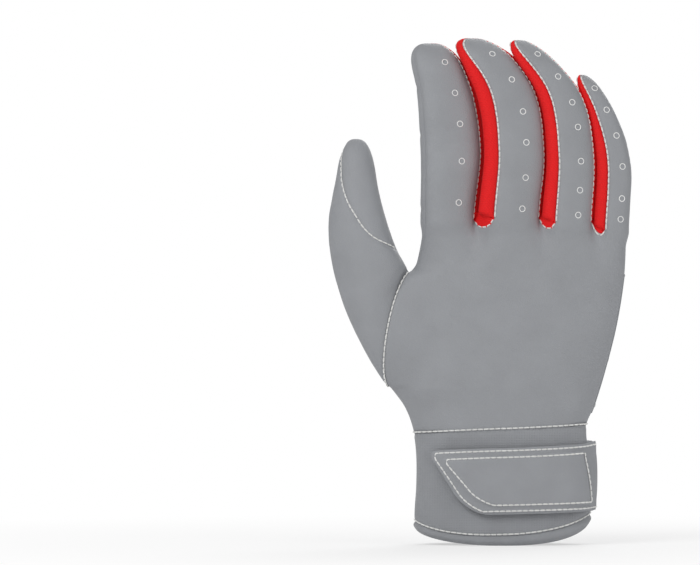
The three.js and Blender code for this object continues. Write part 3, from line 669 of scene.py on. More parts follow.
def leather(name, colour, grain=1.0 * MM):
    """Full grain leather: pebbles with fine pores, slow changes of tone, painted shade that darkens the
    grain's valleys, and a soft satin gloss.
    """
    shader = Shader(name, colour, 0.55, {"Specular IOR Level": 0.42})
    pebbles = shader.ramp(shader.cells(grain), 0, 1, 0, 0.32)
    pores = shader.noise(0.28 * MM, 4)
    wear = shader.noise(16 * MM, 4)
    # The pebbles' share of the tone is painted shade: it lightens their middles and leaves the valleys
    # between them darker. The slow changes of tone are the leather's own.
    tone = shader.mixed(shader.ramp(wear, 0.1, 0.75, *PATCHES), pebbles, 0.2)
    roughness = shader.ramp(wear, 0.5, 0.62, *PATCHES)
    height = shader.mixed(pebbles, pores, 0.5)
    return shader.finish(height, 0.09 * MM, shader.tint(tone, colour, 0.93, 1.06), roughness, 0.8)


def knit(name, colour, rib=0.9 * MM):
    """Stretch knit: small loops in rows, with a soft sheen."""
    gloss = {"Sheen Weight": 0.04, "Sheen Tint": (*colour, 1), "Specular IOR Level": 0.2}
    shader = Shader(name, colour, 0.72, gloss)
    loops = shader.math("MULTIPLY", shader.waves(rib, "Z"), shader.waves(rib * 0.8, "DIAGONAL"))
    fuzz = shader.noise(0.3 * MM, 3)
    tone = shader.mixed(shader.ramp(loops, 0.15, 0.8), fuzz, 0.2)
    height = shader.mixed(loops, fuzz, 0.35)
    return shader.finish(height, 0.16 * MM, shader.tint(tone, colour, 0.86, 1.1))


def weave(name, colour, thread_size, roughness=0.85):
    """A close weave or brushed cloth."""
    shader = Shader(name, colour, roughness, {"Sheen Weight": 0.2, "Sheen Roughness": 0.45})
    crossing = shader.math("MAXIMUM", shader.waves(thread_size, "X"), shader.waves(thread_size, "Z"))
    fuzz = shader.noise(0.35 * MM, 4)
    patches = shader.noise(11 * MM, 3)
    tone = shader.math("ADD", shader.ramp(crossing, 0, 0.45), shader.ramp(patches, 0.1, 0.45, *PATCHES))
    height = shader.mixed(crossing, fuzz, 0.5)
    return shader.finish(height, 0.12 * MM, shader.tint(tone, colour, 0.82, 1.1))


def rubber(name, colour, roughness):
    """Matt rubber with a fine speckle and slow changes of tone and gloss."""
    shader = Shader(name, colour, roughness)
    speckle = shader.noise(0.4 * MM, 4)
    wear = shader.noise(9 * MM, 3)
    tone = shader.mixed(shader.ramp(wear, 0.15, 0.7, *PATCHES), speckle, 0.2)
    gloss = shader.ramp(wear, roughness - 0.08, roughness + 0.08)
    return shader.finish(speckle, 0.05 * MM, shader.tint(tone, colour, 0.9, 1.08), gloss)


def pile(name, colour, size):
    """Hook or loop tape: a rough coat of small hooks or loops."""
    shader = Shader(name, colour, 0.9, {"Sheen Weight": 0.25})
    tufts = shader.cells(size, "F1")
    fuzz = shader.noise(size / 3, 4)
    height = shader.math("SUBTRACT", shader.math("MULTIPLY", fuzz, 0.8), tufts)
    tone = shader.ramp(height, 0, 1, -0.6, 0.5)
    return shader.finish(height, 0.35 * MM, shader.tint(tone, colour, 0.55, 1.25))


GREY_LEATHER = leather("grey_leather", GREY)
STRAP_GREY = leather("strap_leather", shade(GREY, 0.98), 0.8 * MM)
BADGE_GREY = leather("badge_leather", shade(GREY, 1.03), 0.6 * MM)
RED_STRETCH = knit("red_stretch", RED)
CUFF_FABRIC = weave("cuff_fabric", shade(GREY, 0.97), 0.8 * MM)
HEM_FABRIC = weave("hem_fabric", GREY, 0.6 * MM, 0.8)
GRIP_OVERLAY = rubber("grip_overlay", GREY, 0.6)
WHITE_RUBBER = rubber("white_rubber", (0.84, 0.84, 0.83), 0.5)
WHITE_THREAD = weave("white_thread", (0.86, 0.86, 0.84), 0.35 * MM, 0.6)
HOOK_TAPE = pile("hook_tape", (0.11, 0.112, 0.118), 0.9 * MM)
LOOP_TAPE = pile("loop_tape", (0.16, 0.163, 0.17), 0.6 * MM)
ELASTIC = weave("elastic", (0.15, 0.152, 0.16), 1.1 * MM)


# Fingers: a lower piece from the base and an upper piece from just below the middle knuckle to the tip.
BASE_BEND = (0.8, 18)  # lengths round the finger's base where the lower piece would bend; it is not bent
KNUCKLE_BEND = 9  # half the length round the middle knuckle where a bend would lie; the two pieces meet at its lower end
TIP_ROWS = np.sin(np.radians(np.linspace(0, 89.6, 22)))  # shares of a rounded tip's length
MIDDLE_TURN = {"back": 2, "palm": 8}
WIDTH_SAMPLES = 60
BACK_FOLDS = (-4.2, -0.6, 3.2)  # places of the folds on a finger's back, from the knuckle
BACK_FOLD_SIZE = (0.2, 1.3)  # their depth and width
PALM_CREASE_BASE = 5
PALM_CREASE_TIP = 0.74  # share of the finger's length
PALM_CREASE_SIZE = (0.4, 1.5)
FOLD_ROUNDING = 0.7
VENT_PRESS = 0.3  # depth of the leather's hollow at a vent
VENT_SINK = 0.12
WALL_GAP_MAX = 5  # widest gap between two fingers that their red walls close
WALL_LAP = 0.4  # how far each wall then reaches past the middle of the gap, one behind the other
WALL_FADE_IN = 2.5  # length over which a wall starts to swell
WALL_FADE_OUT = 3  # height below the lower of two fingertips where the swelling has ended
WALL_SAMPLES = 25
WALL_TRIALS = 11
FAR_WALL = (4, 6)
NEAR_WALL = (12, 10)


def finger_lengths(finger, part):
    split = finger.knuckle - KNUCKLE_BEND
    if part == "lower":
        return np.linspace(0, split, int(split / GRID) + 1)
    cap = finger.length - TIP_CAP
    straight = np.linspace(split, cap, int((cap - split) / GRID) + 1)
    return np.concatenate([straight, cap + TIP_CAP * TIP_ROWS[1:]])


def bend_finger(piece, finger, part):
    if part == "lower":
        bend = BASE_BEND
    else:
        bend = finger.knuckle - KNUCKLE_BEND, finger.knuckle + KNUCKLE_BEND
    metres(finger.line(bend[0]))
    metres(finger.line(bend[1]))
    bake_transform(piece)


def finger_wrinkles(finger, points, normals, lengths, face):
    """Cross folds over the knuckles on the back, and creases at the joints on the palm side."""
    if face == "back":
        places = finger.knuckle + np.array(BACK_FOLDS)
        depth, width = BACK_FOLD_SIZE
    else:
        places = np.array([PALM_CREASE_BASE, finger.knuckle, finger.length * PALM_CREASE_TIP])
        depth, width = PALM_CREASE_SIZE
    fold = sum(np.exp(-(((lengths - place) / width) ** 2)) for place in places)
    across = arch(np.linspace(0, 1, points.shape[1]), FOLD_ROUNDING)
    return raised(points, normals, -depth * fold[:, None] * across)


TIP_SEAM_END = 1.5  # distance from the tip where the seams stop rolling in
SEAM_STEP = 0.4


def seam_places(finger, turns):
    lengths = np.arange(0, finger.length - TIP_SEAM_END, SEAM_STEP)
    return np.concatenate([finger.points(turn, lengths) for turn in turns])


def vent_places(finger, face, lengths):
    at = finger.length_at_height(np.array(finger.vents[face]))
    at = at[(at > lengths[0]) & (at <= lengths[-1])]
    turn = np.full_like(at, MIDDLE_TURN[face])
    return finger.points(turn, at), finger.normals(turn, at)


def wall_reach(finger, turns, lengths, bulge, sign):
    """How far sideways a red wall reaches at some lengths when it swells."""
    shares = np.linspace(0, 1, WALL_SAMPLES)
    place = lerp(*turns, shares)[None, :], lengths[:, None]
    points = raised(finger.points(*place), finger.normals(*place), bulge * arch(shares))
    return np.max(points[..., 0] * sign, axis=1) * sign


def wall_bulge(finger, panel, lengths):
    """How far a red wall swells at some lengths, so that it closes the gap to the next finger with the
    wall that faces it."""
    sign = 1 if panel == "far_wall" else -1
    turns, facing_turns = (FAR_WALL, NEAR_WALL) if sign == 1 else (NEAR_WALL, FAR_WALL)
    other = FINGER_LIST[FINGER_LIST.index(finger) + sign]
    height = finger.line(lengths)[:, 2]
    facing = wall_reach(other, facing_turns, other.length_at_height(height), 0, -sign)
    trials = np.linspace(0, WALL_GAP_MAX, WALL_TRIALS)
    reach = np.stack([wall_reach(finger, turns, lengths, trial, sign) for trial in trials], axis=1) * sign
    gap = np.clip(facing * sign - reach[:, 0], 0, WALL_GAP_MAX)
    lower_tip = min(finger.samples[-1, 2], other.samples[-1, 2])
    fade = 1 - smoothstep(height, lower_tip - TIP_CAP, lower_tip - WALL_FADE_OUT)
    fade = smoothstep(lengths, 0, WALL_FADE_IN) * fade
    target = reach[:, 0] + (gap / 2 + WALL_LAP) * fade
    return np.array([np.interp(at, row, trials) for at, row in zip(target, reach)])


def panel_turns(number):
    """Turns between which a finger's leather runs; on the outer sides of the hand its back and palm meet."""
    first, last = number == 0, number == LAST_FINGER
    return {"back": (-1 if first else 0, 5 if last else 4), "palm": (5 if last else 6, 11 if first else 10)}


def columns_across(finger, turns, length):
    """How many columns of a grid fit between two turns of a finger, at some length."""
    line = finger.points(np.linspace(*turns, WIDTH_SAMPLES), length)
    return int(measure(line)[-1] / GRID) + 1


def finger_strip(finger, part, panel, turns, seams):
    """A panel of a finger: leather with its vents on the back and the palm side, or a red wall."""
    lengths = finger_lengths(finger, part)
    columns = columns_across(finger, turns, finger.knuckle)
    turn = np.linspace(*turns, columns)[None, :]
    points = finger.points(turn, lengths[:, None])
    inside = finger.line(np.minimum(lengths, finger.length - TIP_CAP))[:, None]
    normals = grid_normals(points, inside)
    if panel in MIDDLE_TURN:
        points = finger_relief(points, normals, lengths[:, None])
        points = finger_wrinkles(finger, points, normals, lengths, panel)
        vents, vent_normals = vent_places(finger, panel, lengths)
    else:
        across = arch(np.linspace(0, 1, columns))
        points = raised(points, normals, wall_bulge(finger, panel, lengths)[:, None] * across)
    points = press(points, normals, seam_places(finger, seams), SEAM_DEPTH, SEAM_WIDTH)
    name = f"{finger.name}_{part}_{panel}"
    if panel not in MIDDLE_TURN:
        piece = sheet(f"{name}_knit", points, normals, STRETCH, RED_STRETCH)
        bend_finger(piece, finger, part)
        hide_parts(name)
        return
    points = press(points, normals, vents, VENT_PRESS, RING_RADIUS)
    piece = sheet(f"{name}_leather", points, normals, LEATHER, GREY_LEATHER)
    bend_finger(piece, finger, part)
    crease = [f"{finger.name}_{'base' if part == 'lower' else 'middle'}_crease"] if panel == "palm" else []
    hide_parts(name, *crease)
    rims = rings_on(f"{name}_vents", vents - vent_normals * VENT_SINK, vent_normals)
    bend_finger(rims, finger, part)


TIP_STITCH_END = 0.6  # distance from the tip where the stitches stop
PROBE_TURN = 0.5  # turn beside a seam whose width tells how far off its row of stitches is
PROBE_LEAST = 0.1
ROW_TURN_MAX = 1.6


def finger_stitches(finger, part, seams):
    """Rows of stitches beside the seams; each seam is a turn and the side of it that the row lies on."""
    lengths = finger_lengths(finger, part)
    lengths = lengths[lengths < finger.length - TIP_STITCH_END]
    rows = []
    for turn, side in seams:
        probe = finger.points(turn + side * PROBE_TURN, lengths) - finger.points(turn, lengths)
        width = np.maximum(np.linalg.norm(probe, axis=-1), PROBE_LEAST)
        at = turn + side * np.minimum(PROBE_TURN * STITCH_INSET / width, ROW_TURN_MAX)
        normals = finger.normals(at, lengths)
        line = finger_relief(finger.points(at, lengths), normals, lengths)
        rows.append((line - normals * STITCH_DROP, normals))
    piece = stitches(f"{finger.name}_{part}_stitches", rows)
    bend_finger(piece, finger, part)


def build_finger(number):
    """All panels of a finger. The outer sides of the index and the little finger have no red wall."""
    finger = FINGER_LIST[number]
    leather_turns = panel_turns(number)
    seams = sorted({turn for turns in leather_turns.values() for turn in turns})
    white = [(turn, side) for turn, side in ((0, 1), (4, -1), (6, 1), (10, -1)) if turn in seams]
    for part in ("lower", "upper"):
        for panel, turns in leather_turns.items():
            finger_strip(finger, part, panel, turns, seams)
        if number > 0:
            finger_strip(finger, part, "near_wall", NEAR_WALL, NEAR_WALL)
        if number < LAST_FINGER:
            finger_strip(finger, part, "far_wall", FAR_WALL, FAR_WALL)
        finger_stitches(finger, part, white)


# Hand: a back and a palm panel whose top edges meet the fingers and dip between them.
GAP_COLUMNS = 14
GAP_SPREAD = (-0.25, 1.25)  # evens out the columns between two fingers
GAP_ROUNDING = 0.6
LEAST_BEND = 1e-6  # keeps the palm's first turn under 2, which would count as the back
WEB_TUCK = 0.7  # how far behind the leather a web's edge lies


class HandFace:
    """One face of the hand. Its columns run down from the bases of the fingers and from the gaps between."""

    def __init__(self, name):
        self.name = name
        self.on_back = name == "back"
        self.columns = []
        for i, finger in enumerate(FINGER_LIST):
            if i:
                shares = np.linspace(0, 1, GAP_COLUMNS + 2)[1:-1]
                self.columns += [(i - 1, share) for share in shares]
            turns = panel_turns(i)[name][:: 1 if self.on_back else -1]
            count = columns_across(finger, turns, 0)
            self.columns += [(finger, turn) for turn in np.linspace(*turns, count)]
        self.tops = np.stack([self.extension(column, np.zeros(1))[0] for column in self.columns])
        left, right = self.tops[0, 0], self.tops[-1, 0]
        across = np.clip(1 - 2 * (self.tops[:, 0] - left) / (right - left), -1, 1)
        bend = np.maximum(np.arccos(signed_power(across, 1 / HAND_ROUNDING)) / np.pi, LEAST_BEND)
        self.turn = bend if self.on_back else 2 - bend
        self.bottoms = wrist_height(self.turn)

    def extension(self, column, below):
        """The finger's surface carried on into the hand, or a dip between two fingers."""
        owner, place = column
        if isinstance(owner, Finger):
            return owner.points(place, -below)
        seams = (4, 0) if self.on_back else (6, 10)
        near = FINGER_LIST[owner].points(seams[0], -below)
        far = FINGER_LIST[owner + 1].points(seams[1], -below)
        points = lerp(near, far, smoothstep(place, *GAP_SPREAD))
        points[..., 2] -= WEB_SAG * (1 - (2 * place - 1) ** 2) ** GAP_ROUNDING
        return points

    def points(self, below):
        """Points at some distances below the top of each column, as rows of columns."""
        below = np.broadcast_to(below, (len(below), len(self.columns)))
        z = self.tops[:, 2] - below
        oval = oval_points(self.turn, z)
        merged = np.stack([self.extension(c, below[:, j]) for j, c in enumerate(self.columns)], axis=1)
        return lerp(oval, merged, (1 - smoothstep(below, 0, FINGER_MERGE))[..., None])

    def top_rows(self, step):
        """Three rows at the tops of the columns, a step apart, with their normals."""
        rows = self.points(np.arange(3)[:, None] * step)
        return rows, grid_normals(rows, hand_inside(rows))

    def tucked_rows(self):
        """Two rows near the tops of the columns: one that lies behind the leather, and one at its edge."""
        rows, normals = self.top_rows(GRID)
        return rows[2] - normals[2] * (SEAM_DEPTH + WEB_TUCK), rows[0] - normals[0] * SEAM_DEPTH

    def gap(self, i):
        """Numbers of the columns between finger i and the next, with the seams on both sides."""
        inner = [j for j, (owner, place) in enumerate(self.columns) if owner == i]
        return [inner[0] - 1, *inner, inner[-1] + 1]


HAND_FACES = {name: HandFace(name) for name in ("back", "palm")}
HAND_ROWS = 120
CREASE_FADE = (1, 9)  # lengths between which the creases between the fingers fade into the hand


def hand_inside(points):
    return np.stack([points[..., 0] / 2, np.zeros(points.shape[:2]), points[..., 2]], axis=-1)


def build_hand_face(face):
    shares = np.linspace(1, 0, HAND_ROWS)[:, None]
    below = shares * (face.tops[:, 2] - face.bottoms)
    points = smooth_across(face.points(below), smoothstep(below, *CREASE_FADE))
    normals = grid_normals(points, hand_inside(points))
    edges = [points[0], points[:, 0], points[:, -1]]
    edges += [points[-1, face.gap(i)] for i in range(LAST_FINGER)]
    points = soft_relief(points, normals, HAND_RELIEF)
    points = press(points, normals, np.concatenate(edges), SEAM_DEPTH, SEAM_WIDTH)
    piece = sheet(f"{face.name}_leather", points, normals, LEATHER, GREY_LEATHER)
    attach(piece, "hand")
    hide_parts(f"{face.name}_panel")


WEB_ROWS = 18
WEB_ROUNDING = (0.6, 0.35)  # from the back to the palm, and across from finger to finger
WEB_BELOW = np.array([0, 0, 10.0])  # down to a place inside the hand


def build_webs():
    """The floor of each red gusset, stretched between two fingers from the back to the palm."""
    for i in range(LAST_FINGER):
        near, far = FINGER_LIST[i], FINGER_LIST[i + 1]
        rims = [[row[face.gap(i)] for row in face.tucked_rows()] for face in HAND_FACES.values()]
        (behind_back, back), (behind_palm, palm) = rims
        v = np.linspace(0, 1, WEB_ROWS)[:, None, None]
        u = np.linspace(0, 1, len(back))[None, :, None]
        near_side = near.points(np.linspace(*FAR_WALL, WEB_ROWS), 0)[:, None]
        far_side = far.points(np.linspace(*NEAR_WALL, WEB_ROWS), 0)[:, None]
        near_side = near_side + lerp(back[0] - near_side[0, 0], palm[0] - near_side[-1, 0], v)
        far_side = far_side + lerp(back[-1] - far_side[0, 0], palm[-1] - far_side[-1, 0], v)
        between = lerp(near_side, far_side, u) + lerp(back[None], palm[None], v)
        corners = lerp(lerp(back[0], back[-1], u), lerp(palm[0], palm[-1], u), v)
        points = between - corners
        points[..., 2:] += WEB_RISE * arch(v, WEB_ROUNDING[0]) * arch(u, WEB_ROUNDING[1])
        points = np.concatenate([behind_back[None], points, behind_palm[None]])
        normals = grid_normals(points, points - WEB_BELOW)
        name = f"web_{near.name}_{far.name}_knit"
        piece = sheet(name, points, normals, STRETCH, RED_STRETCH)
        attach(piece, "hand")
        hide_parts(f"web_{near.name}_{far.name}")


WRIST_ROW = np.linspace(0.01, 0.99, 160)  # turns of the row at the wrist, from one side of a face
THUMB_ROW_ANGLES = np.radians(np.linspace(176, 6, 120))  # round the thumb's hole, from its lower end
THUMB_ROW_TURN = 0.02


def sewn_row(points, normals, relief, drop=STITCH_DROP):
    """A line for stitches, sunk into leather with its relief."""
    return soft_relief(points, normals, relief) - normals * drop, normals


def oval_row(turn, z):
    return sewn_row(oval_points(turn, z), oval_normals(turn, z), HAND_RELIEF)


def hand_stitches():
    """White rows under the gussets, along the wrist seam and round the back of the thumb's seam."""
    rows = []
    for face in HAND_FACES.values():
        lines, normals = face.top_rows(STITCH_INSET)
        line, normal = sewn_row(lines[1], normals[1], HAND_RELIEF)
        for i in range(LAST_FINGER):
            gap = face.gap(i)
            rows.append((line[gap], normal[gap]))
        turn = WRIST_ROW + (0 if face.on_back else 1)
        rows.append(oval_row(turn, wrist_height(turn) + STITCH_INSET))
    low, high = THUMB_HOLE
    z = (low + high) / 2 + (high - low) / 2 * np.cos(THUMB_ROW_ANGLES)
    rows.append(oval_row(np.full_like(z, THUMB_ROW_TURN), z))
    piece = stitches("hand_white_stitches", rows)
    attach(piece, "hand")


# Thumb: a root on the hand, and two pieces further out, one round each of its hinges.
THUMB_COLUMNS = 96
THUMB_SPLITS = (0, 1.4, 4.15, THUMB_END)
THUMB_TIP_ROWS = 28
THUMB_TUCK = (2.5, 1)  # how far its root reaches under the hand's leather, and how deep
THUMB_SEAM = [  # places along the thumb and turns of the seam across its back
    (3.1, 0.02), (3.5, 0.32), (4.45, 0.5), (5.1, 0.6), (5.7, 0.7), (6.24, 0.78), (6.75, 0.97),
]
THUMB_SEAM_SAMPLES = 200
THUMB_STEPS = (0.002, 0.002)  # in turn and place
THUMB_STITCH_DROP = SEAM_DEPTH * 0.8  # its stitches lie in the seam itself


def thumb_places(number):
    start, end = THUMB_SPLITS[number : number + 2]
    if number < 2:
        length = np.linalg.norm(thumb_middle(end) - thumb_middle(start))
        return np.linspace(start, end, int(length / GRID) + 2)
    straight = np.linspace(start, THUMB_CAP_AT, THUMB_TIP_ROWS)
    return np.concatenate([straight, THUMB_CAP_AT + TIP_ROWS[1:]])


def bend_thumb(piece, number):
    if number == 0:
        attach(piece, "hand")
        return
    place = THUMB_BASE_AT if number == 1 else THUMB_TIP_AT
    hinge = thumb_middle(place)
    along = unit(thumb_middle(place + 1) - hinge)
    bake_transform(piece)


def build_thumb():
    """The thumb's three lengths, each with its part of the white seam across the thumb's back."""
    seam_place = np.linspace(THUMB_SEAM[0][0], THUMB_SEAM[-1][0], THUMB_SEAM_SAMPLES)
    seam_turn = profile(THUMB_SEAM)(seam_place)
    seam = thumb_points(seam_turn, seam_place)
    seam_inside = thumb_middle(seam_place)
    seam_normals = surface_normals(thumb_points, seam_turn, seam_place, THUMB_STEPS, seam_inside)
    row, row_normals = sewn_row(seam, seam_normals, THUMB_RELIEF, THUMB_STITCH_DROP)
    turn = np.arange(THUMB_COLUMNS) * 2 / THUMB_COLUMNS
    for number, part in enumerate(("root", "lower", "upper")):
        places = thumb_places(number)
        points = thumb_points(turn[None, :], places[:, None])
        inside = np.broadcast_to(thumb_middle(np.minimum(places, THUMB_CAP_AT))[:, None], points.shape)
        normals = grid_normals(points, inside, closed=True)
        edges = [seam, points[0]] if number == 0 else [seam]
        points = soft_relief(points, normals, THUMB_RELIEF)
        points = press(points, normals, np.concatenate(edges), SEAM_DEPTH, SEAM_WIDTH)
        if number == 0:
            reach, depth = THUMB_TUCK
            tucked = points[0] - unit(points[1] - points[0]) * reach - normals[0] * depth
            points = np.concatenate([tucked[None], points])
            normals = np.concatenate([normals[:1], normals])
        name = f"thumb_{part}_leather"
        piece = sheet(name, points, normals, LEATHER, GREY_LEATHER, closed=True)
        bend_thumb(piece, number)
        crease = [] if number == 2 else [f"thumb_{'base' if number == 0 else 'tip'}_crease"]
        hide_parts(f"thumb_{part}_back", f"thumb_{part}_palm", *crease)
        here = (seam_place >= places[0]) & (seam_place <= places[-1])
        if np.any(here):
            thread = stitches(f"thumb_{part}_white_stitches", [(row[here], row_normals[here])])
            bend_thumb(thread, number)


# Cuff: two bands of cloth and a rolled hem round the mouth.
CUFF_GRID = (46, 130)  # rows and columns
HEM_GRID = (14, 260)
HEM_LIFT = 0.1  # height of the hem over the cuff at its edges
HEM_PUFF = 0.45  # how much higher its middle is
HEM_PUFF_ROUNDING = 0.6
HEM_ROW_SAMPLES = 400
HEM_ROW_DROP = 0.3


def oval_sheet(name, turn, heights, lift, thickness, material, seams=True, closed=False):
    """A layer on the hand's oval, at a lift over it; with seams its edges roll in."""
    points = oval_points(turn, heights)
    normals = oval_normals(*np.broadcast_arrays(turn, heights))
    points = raised(points, normals, lift)
    if seams:
        edges = [points[0], points[-1]] if closed else [points[0], points[-1], points[:, 0], points[:, -1]]
        points = press(points, normals, np.concatenate(edges), SEAM_DEPTH, SEAM_WIDTH)
    return sheet(name, points, normals, thickness, material, closed=closed)


def build_cuff():
    rows, columns = CUFF_GRID
    for name, start in (("cuff_back", 0), ("cuff_palm", 1)):
        turn = np.linspace(start, start + 1, columns)[None, :]
        share = np.linspace(0, 1, rows)[:, None]
        heights = lerp(hem_height(turn), wrist_height(turn), share)
        piece = oval_sheet(f"{name}_cloth", turn, heights, 0, CUFF_CLOTH, CUFF_FABRIC)
        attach(piece, "hand")
        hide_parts(name)
    rows, columns = HEM_GRID
    turn = np.linspace(0, 2, columns, endpoint=False)[None, :]
    share = np.linspace(0, 1, rows)[:, None]
    heights = lerp(mouth_height(turn), hem_height(turn), share)
    lift = HEM_LIFT + HEM_PUFF * arch(share, HEM_PUFF_ROUNDING)
    hem = oval_sheet("hem_cloth", turn, heights, lift, HEM_CLOTH, HEM_FABRIC, closed=True)
    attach(hem, "hand")
    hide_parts("hem_binding")
    turn = np.linspace(0, 2, HEM_ROW_SAMPLES)
    z = hem_height(turn) + STITCH_INSET
    normals = oval_normals(turn, z)
    piece = stitches("hem_white_stitches", [(oval_points(turn, z) - normals * HEM_ROW_DROP, normals)])
    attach(piece, "hand")


# Strap: a band with its badge panel, on a sewn ridge at the cuff's side.
STRAP_ROWS = 44
STRAP_COLUMNS = 110
BADGE_COLUMNS = 96
STRAP_CLEAR = 0.4  # height of its underside over the cuff past the root
STRAP_ROOT_END = 0.1  # share of its length where the root ends
STRAP_TAPES = 2.1  # how much higher it lies over the tapes
STRAP_TAPES_AT = 0.45  # share of its length where it has risen over them
CORNER_CLEAR = 0.001  # keeps its end's heights inside the rounded corners
OUTLINE_UP = (0.03, 0.97)  # shares of a layer's height between which its outline of stitches runs
OUTLINE_END = 0.985  # share of its length where the outline turns back
OUTLINE_SAMPLES = 120
OUTLINE_INSET = 0.6
OUTLINE_DROP = 0.25
STRAP_OUTLINE_FROM = 0.02
BADGE_OUTLINE_FROM = BADGE_FROM + 0.01
RIDGE_GRID = (60, 40)  # rows and columns
RIDGE_LEATHER = 0.8
RIDGE_SINK = -0.4  # lift of the ridge's edges over the cuff
RIDGE_OVERRUN = 1  # how far it runs on above and below the strap
RIDGE_ROUNDING = (0.7, 0.25)  # across it and along it


def corner_cut(distance, radius):
    """How far a rounded corner lies inside a square one, at a distance from the edge beside it."""
    distance = np.clip(distance, 0, radius)
    return radius - np.sqrt(radius**2 - (radius - distance) ** 2)


def strap_end(z):
    """Where the strap's slanted free end lies at a height, with its two corners rounded."""
    low, high = STRAP_BOTTOM[0], STRAP_TOP[0]
    slant = lerp(STRAP_HEEL_X, STRAP_TIP_X, (z - low) / (high - low))
    return slant + corner_cut(high - z, STRAP_TOP_ROUND) + corner_cut(z - low, STRAP_HEEL_ROUND)


def strap_place(along, up, inset):
    """Turn and height of a place on the strap, from shares of its length and height."""
    low = lerp(STRAP_BOTTOM[1], STRAP_BOTTOM[0], along) + inset
    high = lerp(STRAP_TOP[1], STRAP_TOP[0], along) - inset
    z = lerp(low, high, up)
    end_height = lerp(STRAP_BOTTOM[0] + CORNER_CLEAR, STRAP_TOP[0] - CORNER_CLEAR, up)
    end = turn_at(strap_end(end_height) + inset * END_INSET, z)
    return lerp(STRAP_ROOT_TURN, end, along), z


def strap_lift(along, z):
    """Height of the strap's underside over the cuff: on its hinge at the root, over the tapes further on."""
    root = STRAP_HINGE_X - STRAP_LEATHER / 2 - right_edge(z)
    rise = lerp(0, STRAP_TAPES, smoothstep(along, STRAP_ROOT_END, STRAP_TAPES_AT))
    return lerp(root, STRAP_CLEAR, smoothstep(along, 0, STRAP_ROOT_END)) + rise


def strap_layer(name, along, inset, height, thickness, material):
    """A layer of the strap whose outer face lies at a height over the strap's underside."""
    up = (1 - np.cos(np.linspace(0, np.pi, STRAP_ROWS))) / 2
    turn, z = strap_place(along[None, :], up[:, None], inset)
    lift = strap_lift(along[None, :], z) + height
    return oval_sheet(name, turn, z, lift, thickness, material)


def strap_outline(along_from, inset, height, closed=False):
    """A row of stitches round a layer of the strap, a little inside its edge; open at the root or closed."""
    low, high = OUTLINE_UP
    corners = [(along_from, low), (OUTLINE_END, low), (OUTLINE_END, high), (along_from, high)]
    if closed:
        corners.append(corners[0])
    sides = [np.linspace(start, end, OUTLINE_SAMPLES) for start, end in zip(corners, corners[1:])]
    along, up = np.concatenate(sides).T
    turn, z = strap_place(along, up, inset + OUTLINE_INSET)
    normals = oval_normals(turn, z)
    return raised(oval_points(turn, z), normals, strap_lift(along, z) + height - OUTLINE_DROP), normals


def build_strap_root():
    """The sewn ridge at the cuff's side that the strap turns on."""
    rows, columns = RIDGE_GRID
    up = np.linspace(0, 1, rows)[:, None]
    across = np.linspace(0, 1, columns)[None, :]
    z = lerp(STRAP_BOTTOM[1] - RIDGE_OVERRUN, STRAP_TOP[1] + RIDGE_OVERRUN, up)
    turn, z = np.broadcast_arrays(lerp(*STRAP_RIDGE_TURNS, across), z)
    bump = arch(across, RIDGE_ROUNDING[0]) * arch(up, RIDGE_ROUNDING[1])
    lift = lerp(RIDGE_SINK, STRAP_RIDGE_X - right_edge(z), bump)
    ridge = oval_sheet(
        "strap_root_ridge", turn, z, lift, RIDGE_LEATHER, STRAP_GREY, seams=False
    )
    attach(ridge, "hand")


def build_strap():
    along = np.linspace(0, 1, STRAP_COLUMNS)
    strap = strap_layer("strap_band", along, 0, STRAP_LEATHER, STRAP_LEATHER, STRAP_GREY)
    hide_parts("strap")
    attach(strap, "strap")
    along = np.linspace(BADGE_FROM, 1, BADGE_COLUMNS)
    badge = strap_layer("badge_patch", along, BADGE_INSET, STRAP_LEATHER + BADGE, BADGE, BADGE_GREY)
    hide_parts("badge_panel")
    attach(badge, "strap")
    rows = [
        strap_outline(STRAP_OUTLINE_FROM, 0, STRAP_LEATHER),
        strap_outline(BADGE_OUTLINE_FROM, BADGE_INSET, STRAP_LEATHER + BADGE, closed=True),
    ]
    piece = stitches("strap_white_stitches", rows)
    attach(piece, "strap")


# Heel pad: a crowned grip overlay with rows of rings.
PAD_GRID = 84  # its rows, and its columns
PAD_LEAST_TURN = 0.03  # its least width, at its pointed lower end
PAD_EDGE_LIFT = 0.5  # height over the palm at the sewn edges
PAD_SIDE_LIFT = 0.1  # and at the hand's side
PAD_ROUNDING = 0.35  # powers of the sine that its crown falls by at the sewn edges and at the side
PAD_SIDE_ROUNDING = 0.9
PAD_SEAM_SAMPLES = (200, 120)  # along the inner edge and along the top
RING_FIRST_ROW = 4  # distance of the lowest row of rings from the pad's lower end
RING_TOP_MARGIN = 1.5
RING_LINE = 2 - np.linspace(0.3, HEEL_PAD_SIDE_TURN, 400)  # turns of a line across the whole pad

heel_pad_edge = profile(HEEL_PAD_EDGE)
PAD_LOW = HEEL_PAD_EDGE[0][0]
PAD_HIGH = HEEL_PAD_EDGE[-1][0]


def pad_turn(share, z):
    start = np.minimum(turn_at(heel_pad_edge(z), z), HEEL_PAD_SIDE_TURN - PAD_LEAST_TURN)
    return 2 - lerp(start, HEEL_PAD_SIDE_TURN, share)


def pad_lift(share, z):
    """Height of the pad over the palm: crowned, thin at its sewn edges and flush at the hand's side."""
    up = (z - PAD_LOW) / (PAD_HIGH - PAD_LOW)
    across = arch(share, np.where(share < 0.5, PAD_ROUNDING, PAD_SIDE_ROUNDING))
    crown = across * arch(up, PAD_ROUNDING)
    edge = lerp(PAD_EDGE_LIFT, PAD_SIDE_LIFT, smoothstep(share, 0.5, 1))
    return edge + HEEL_PAD_THICKNESS * crown


def on_pad(turn, share, z):
    """Points on the pad, with the normals of the palm under it."""
    normals = oval_normals(turn, z)
    return raised(oval_points(turn, z), normals, pad_lift(share, z)), normals


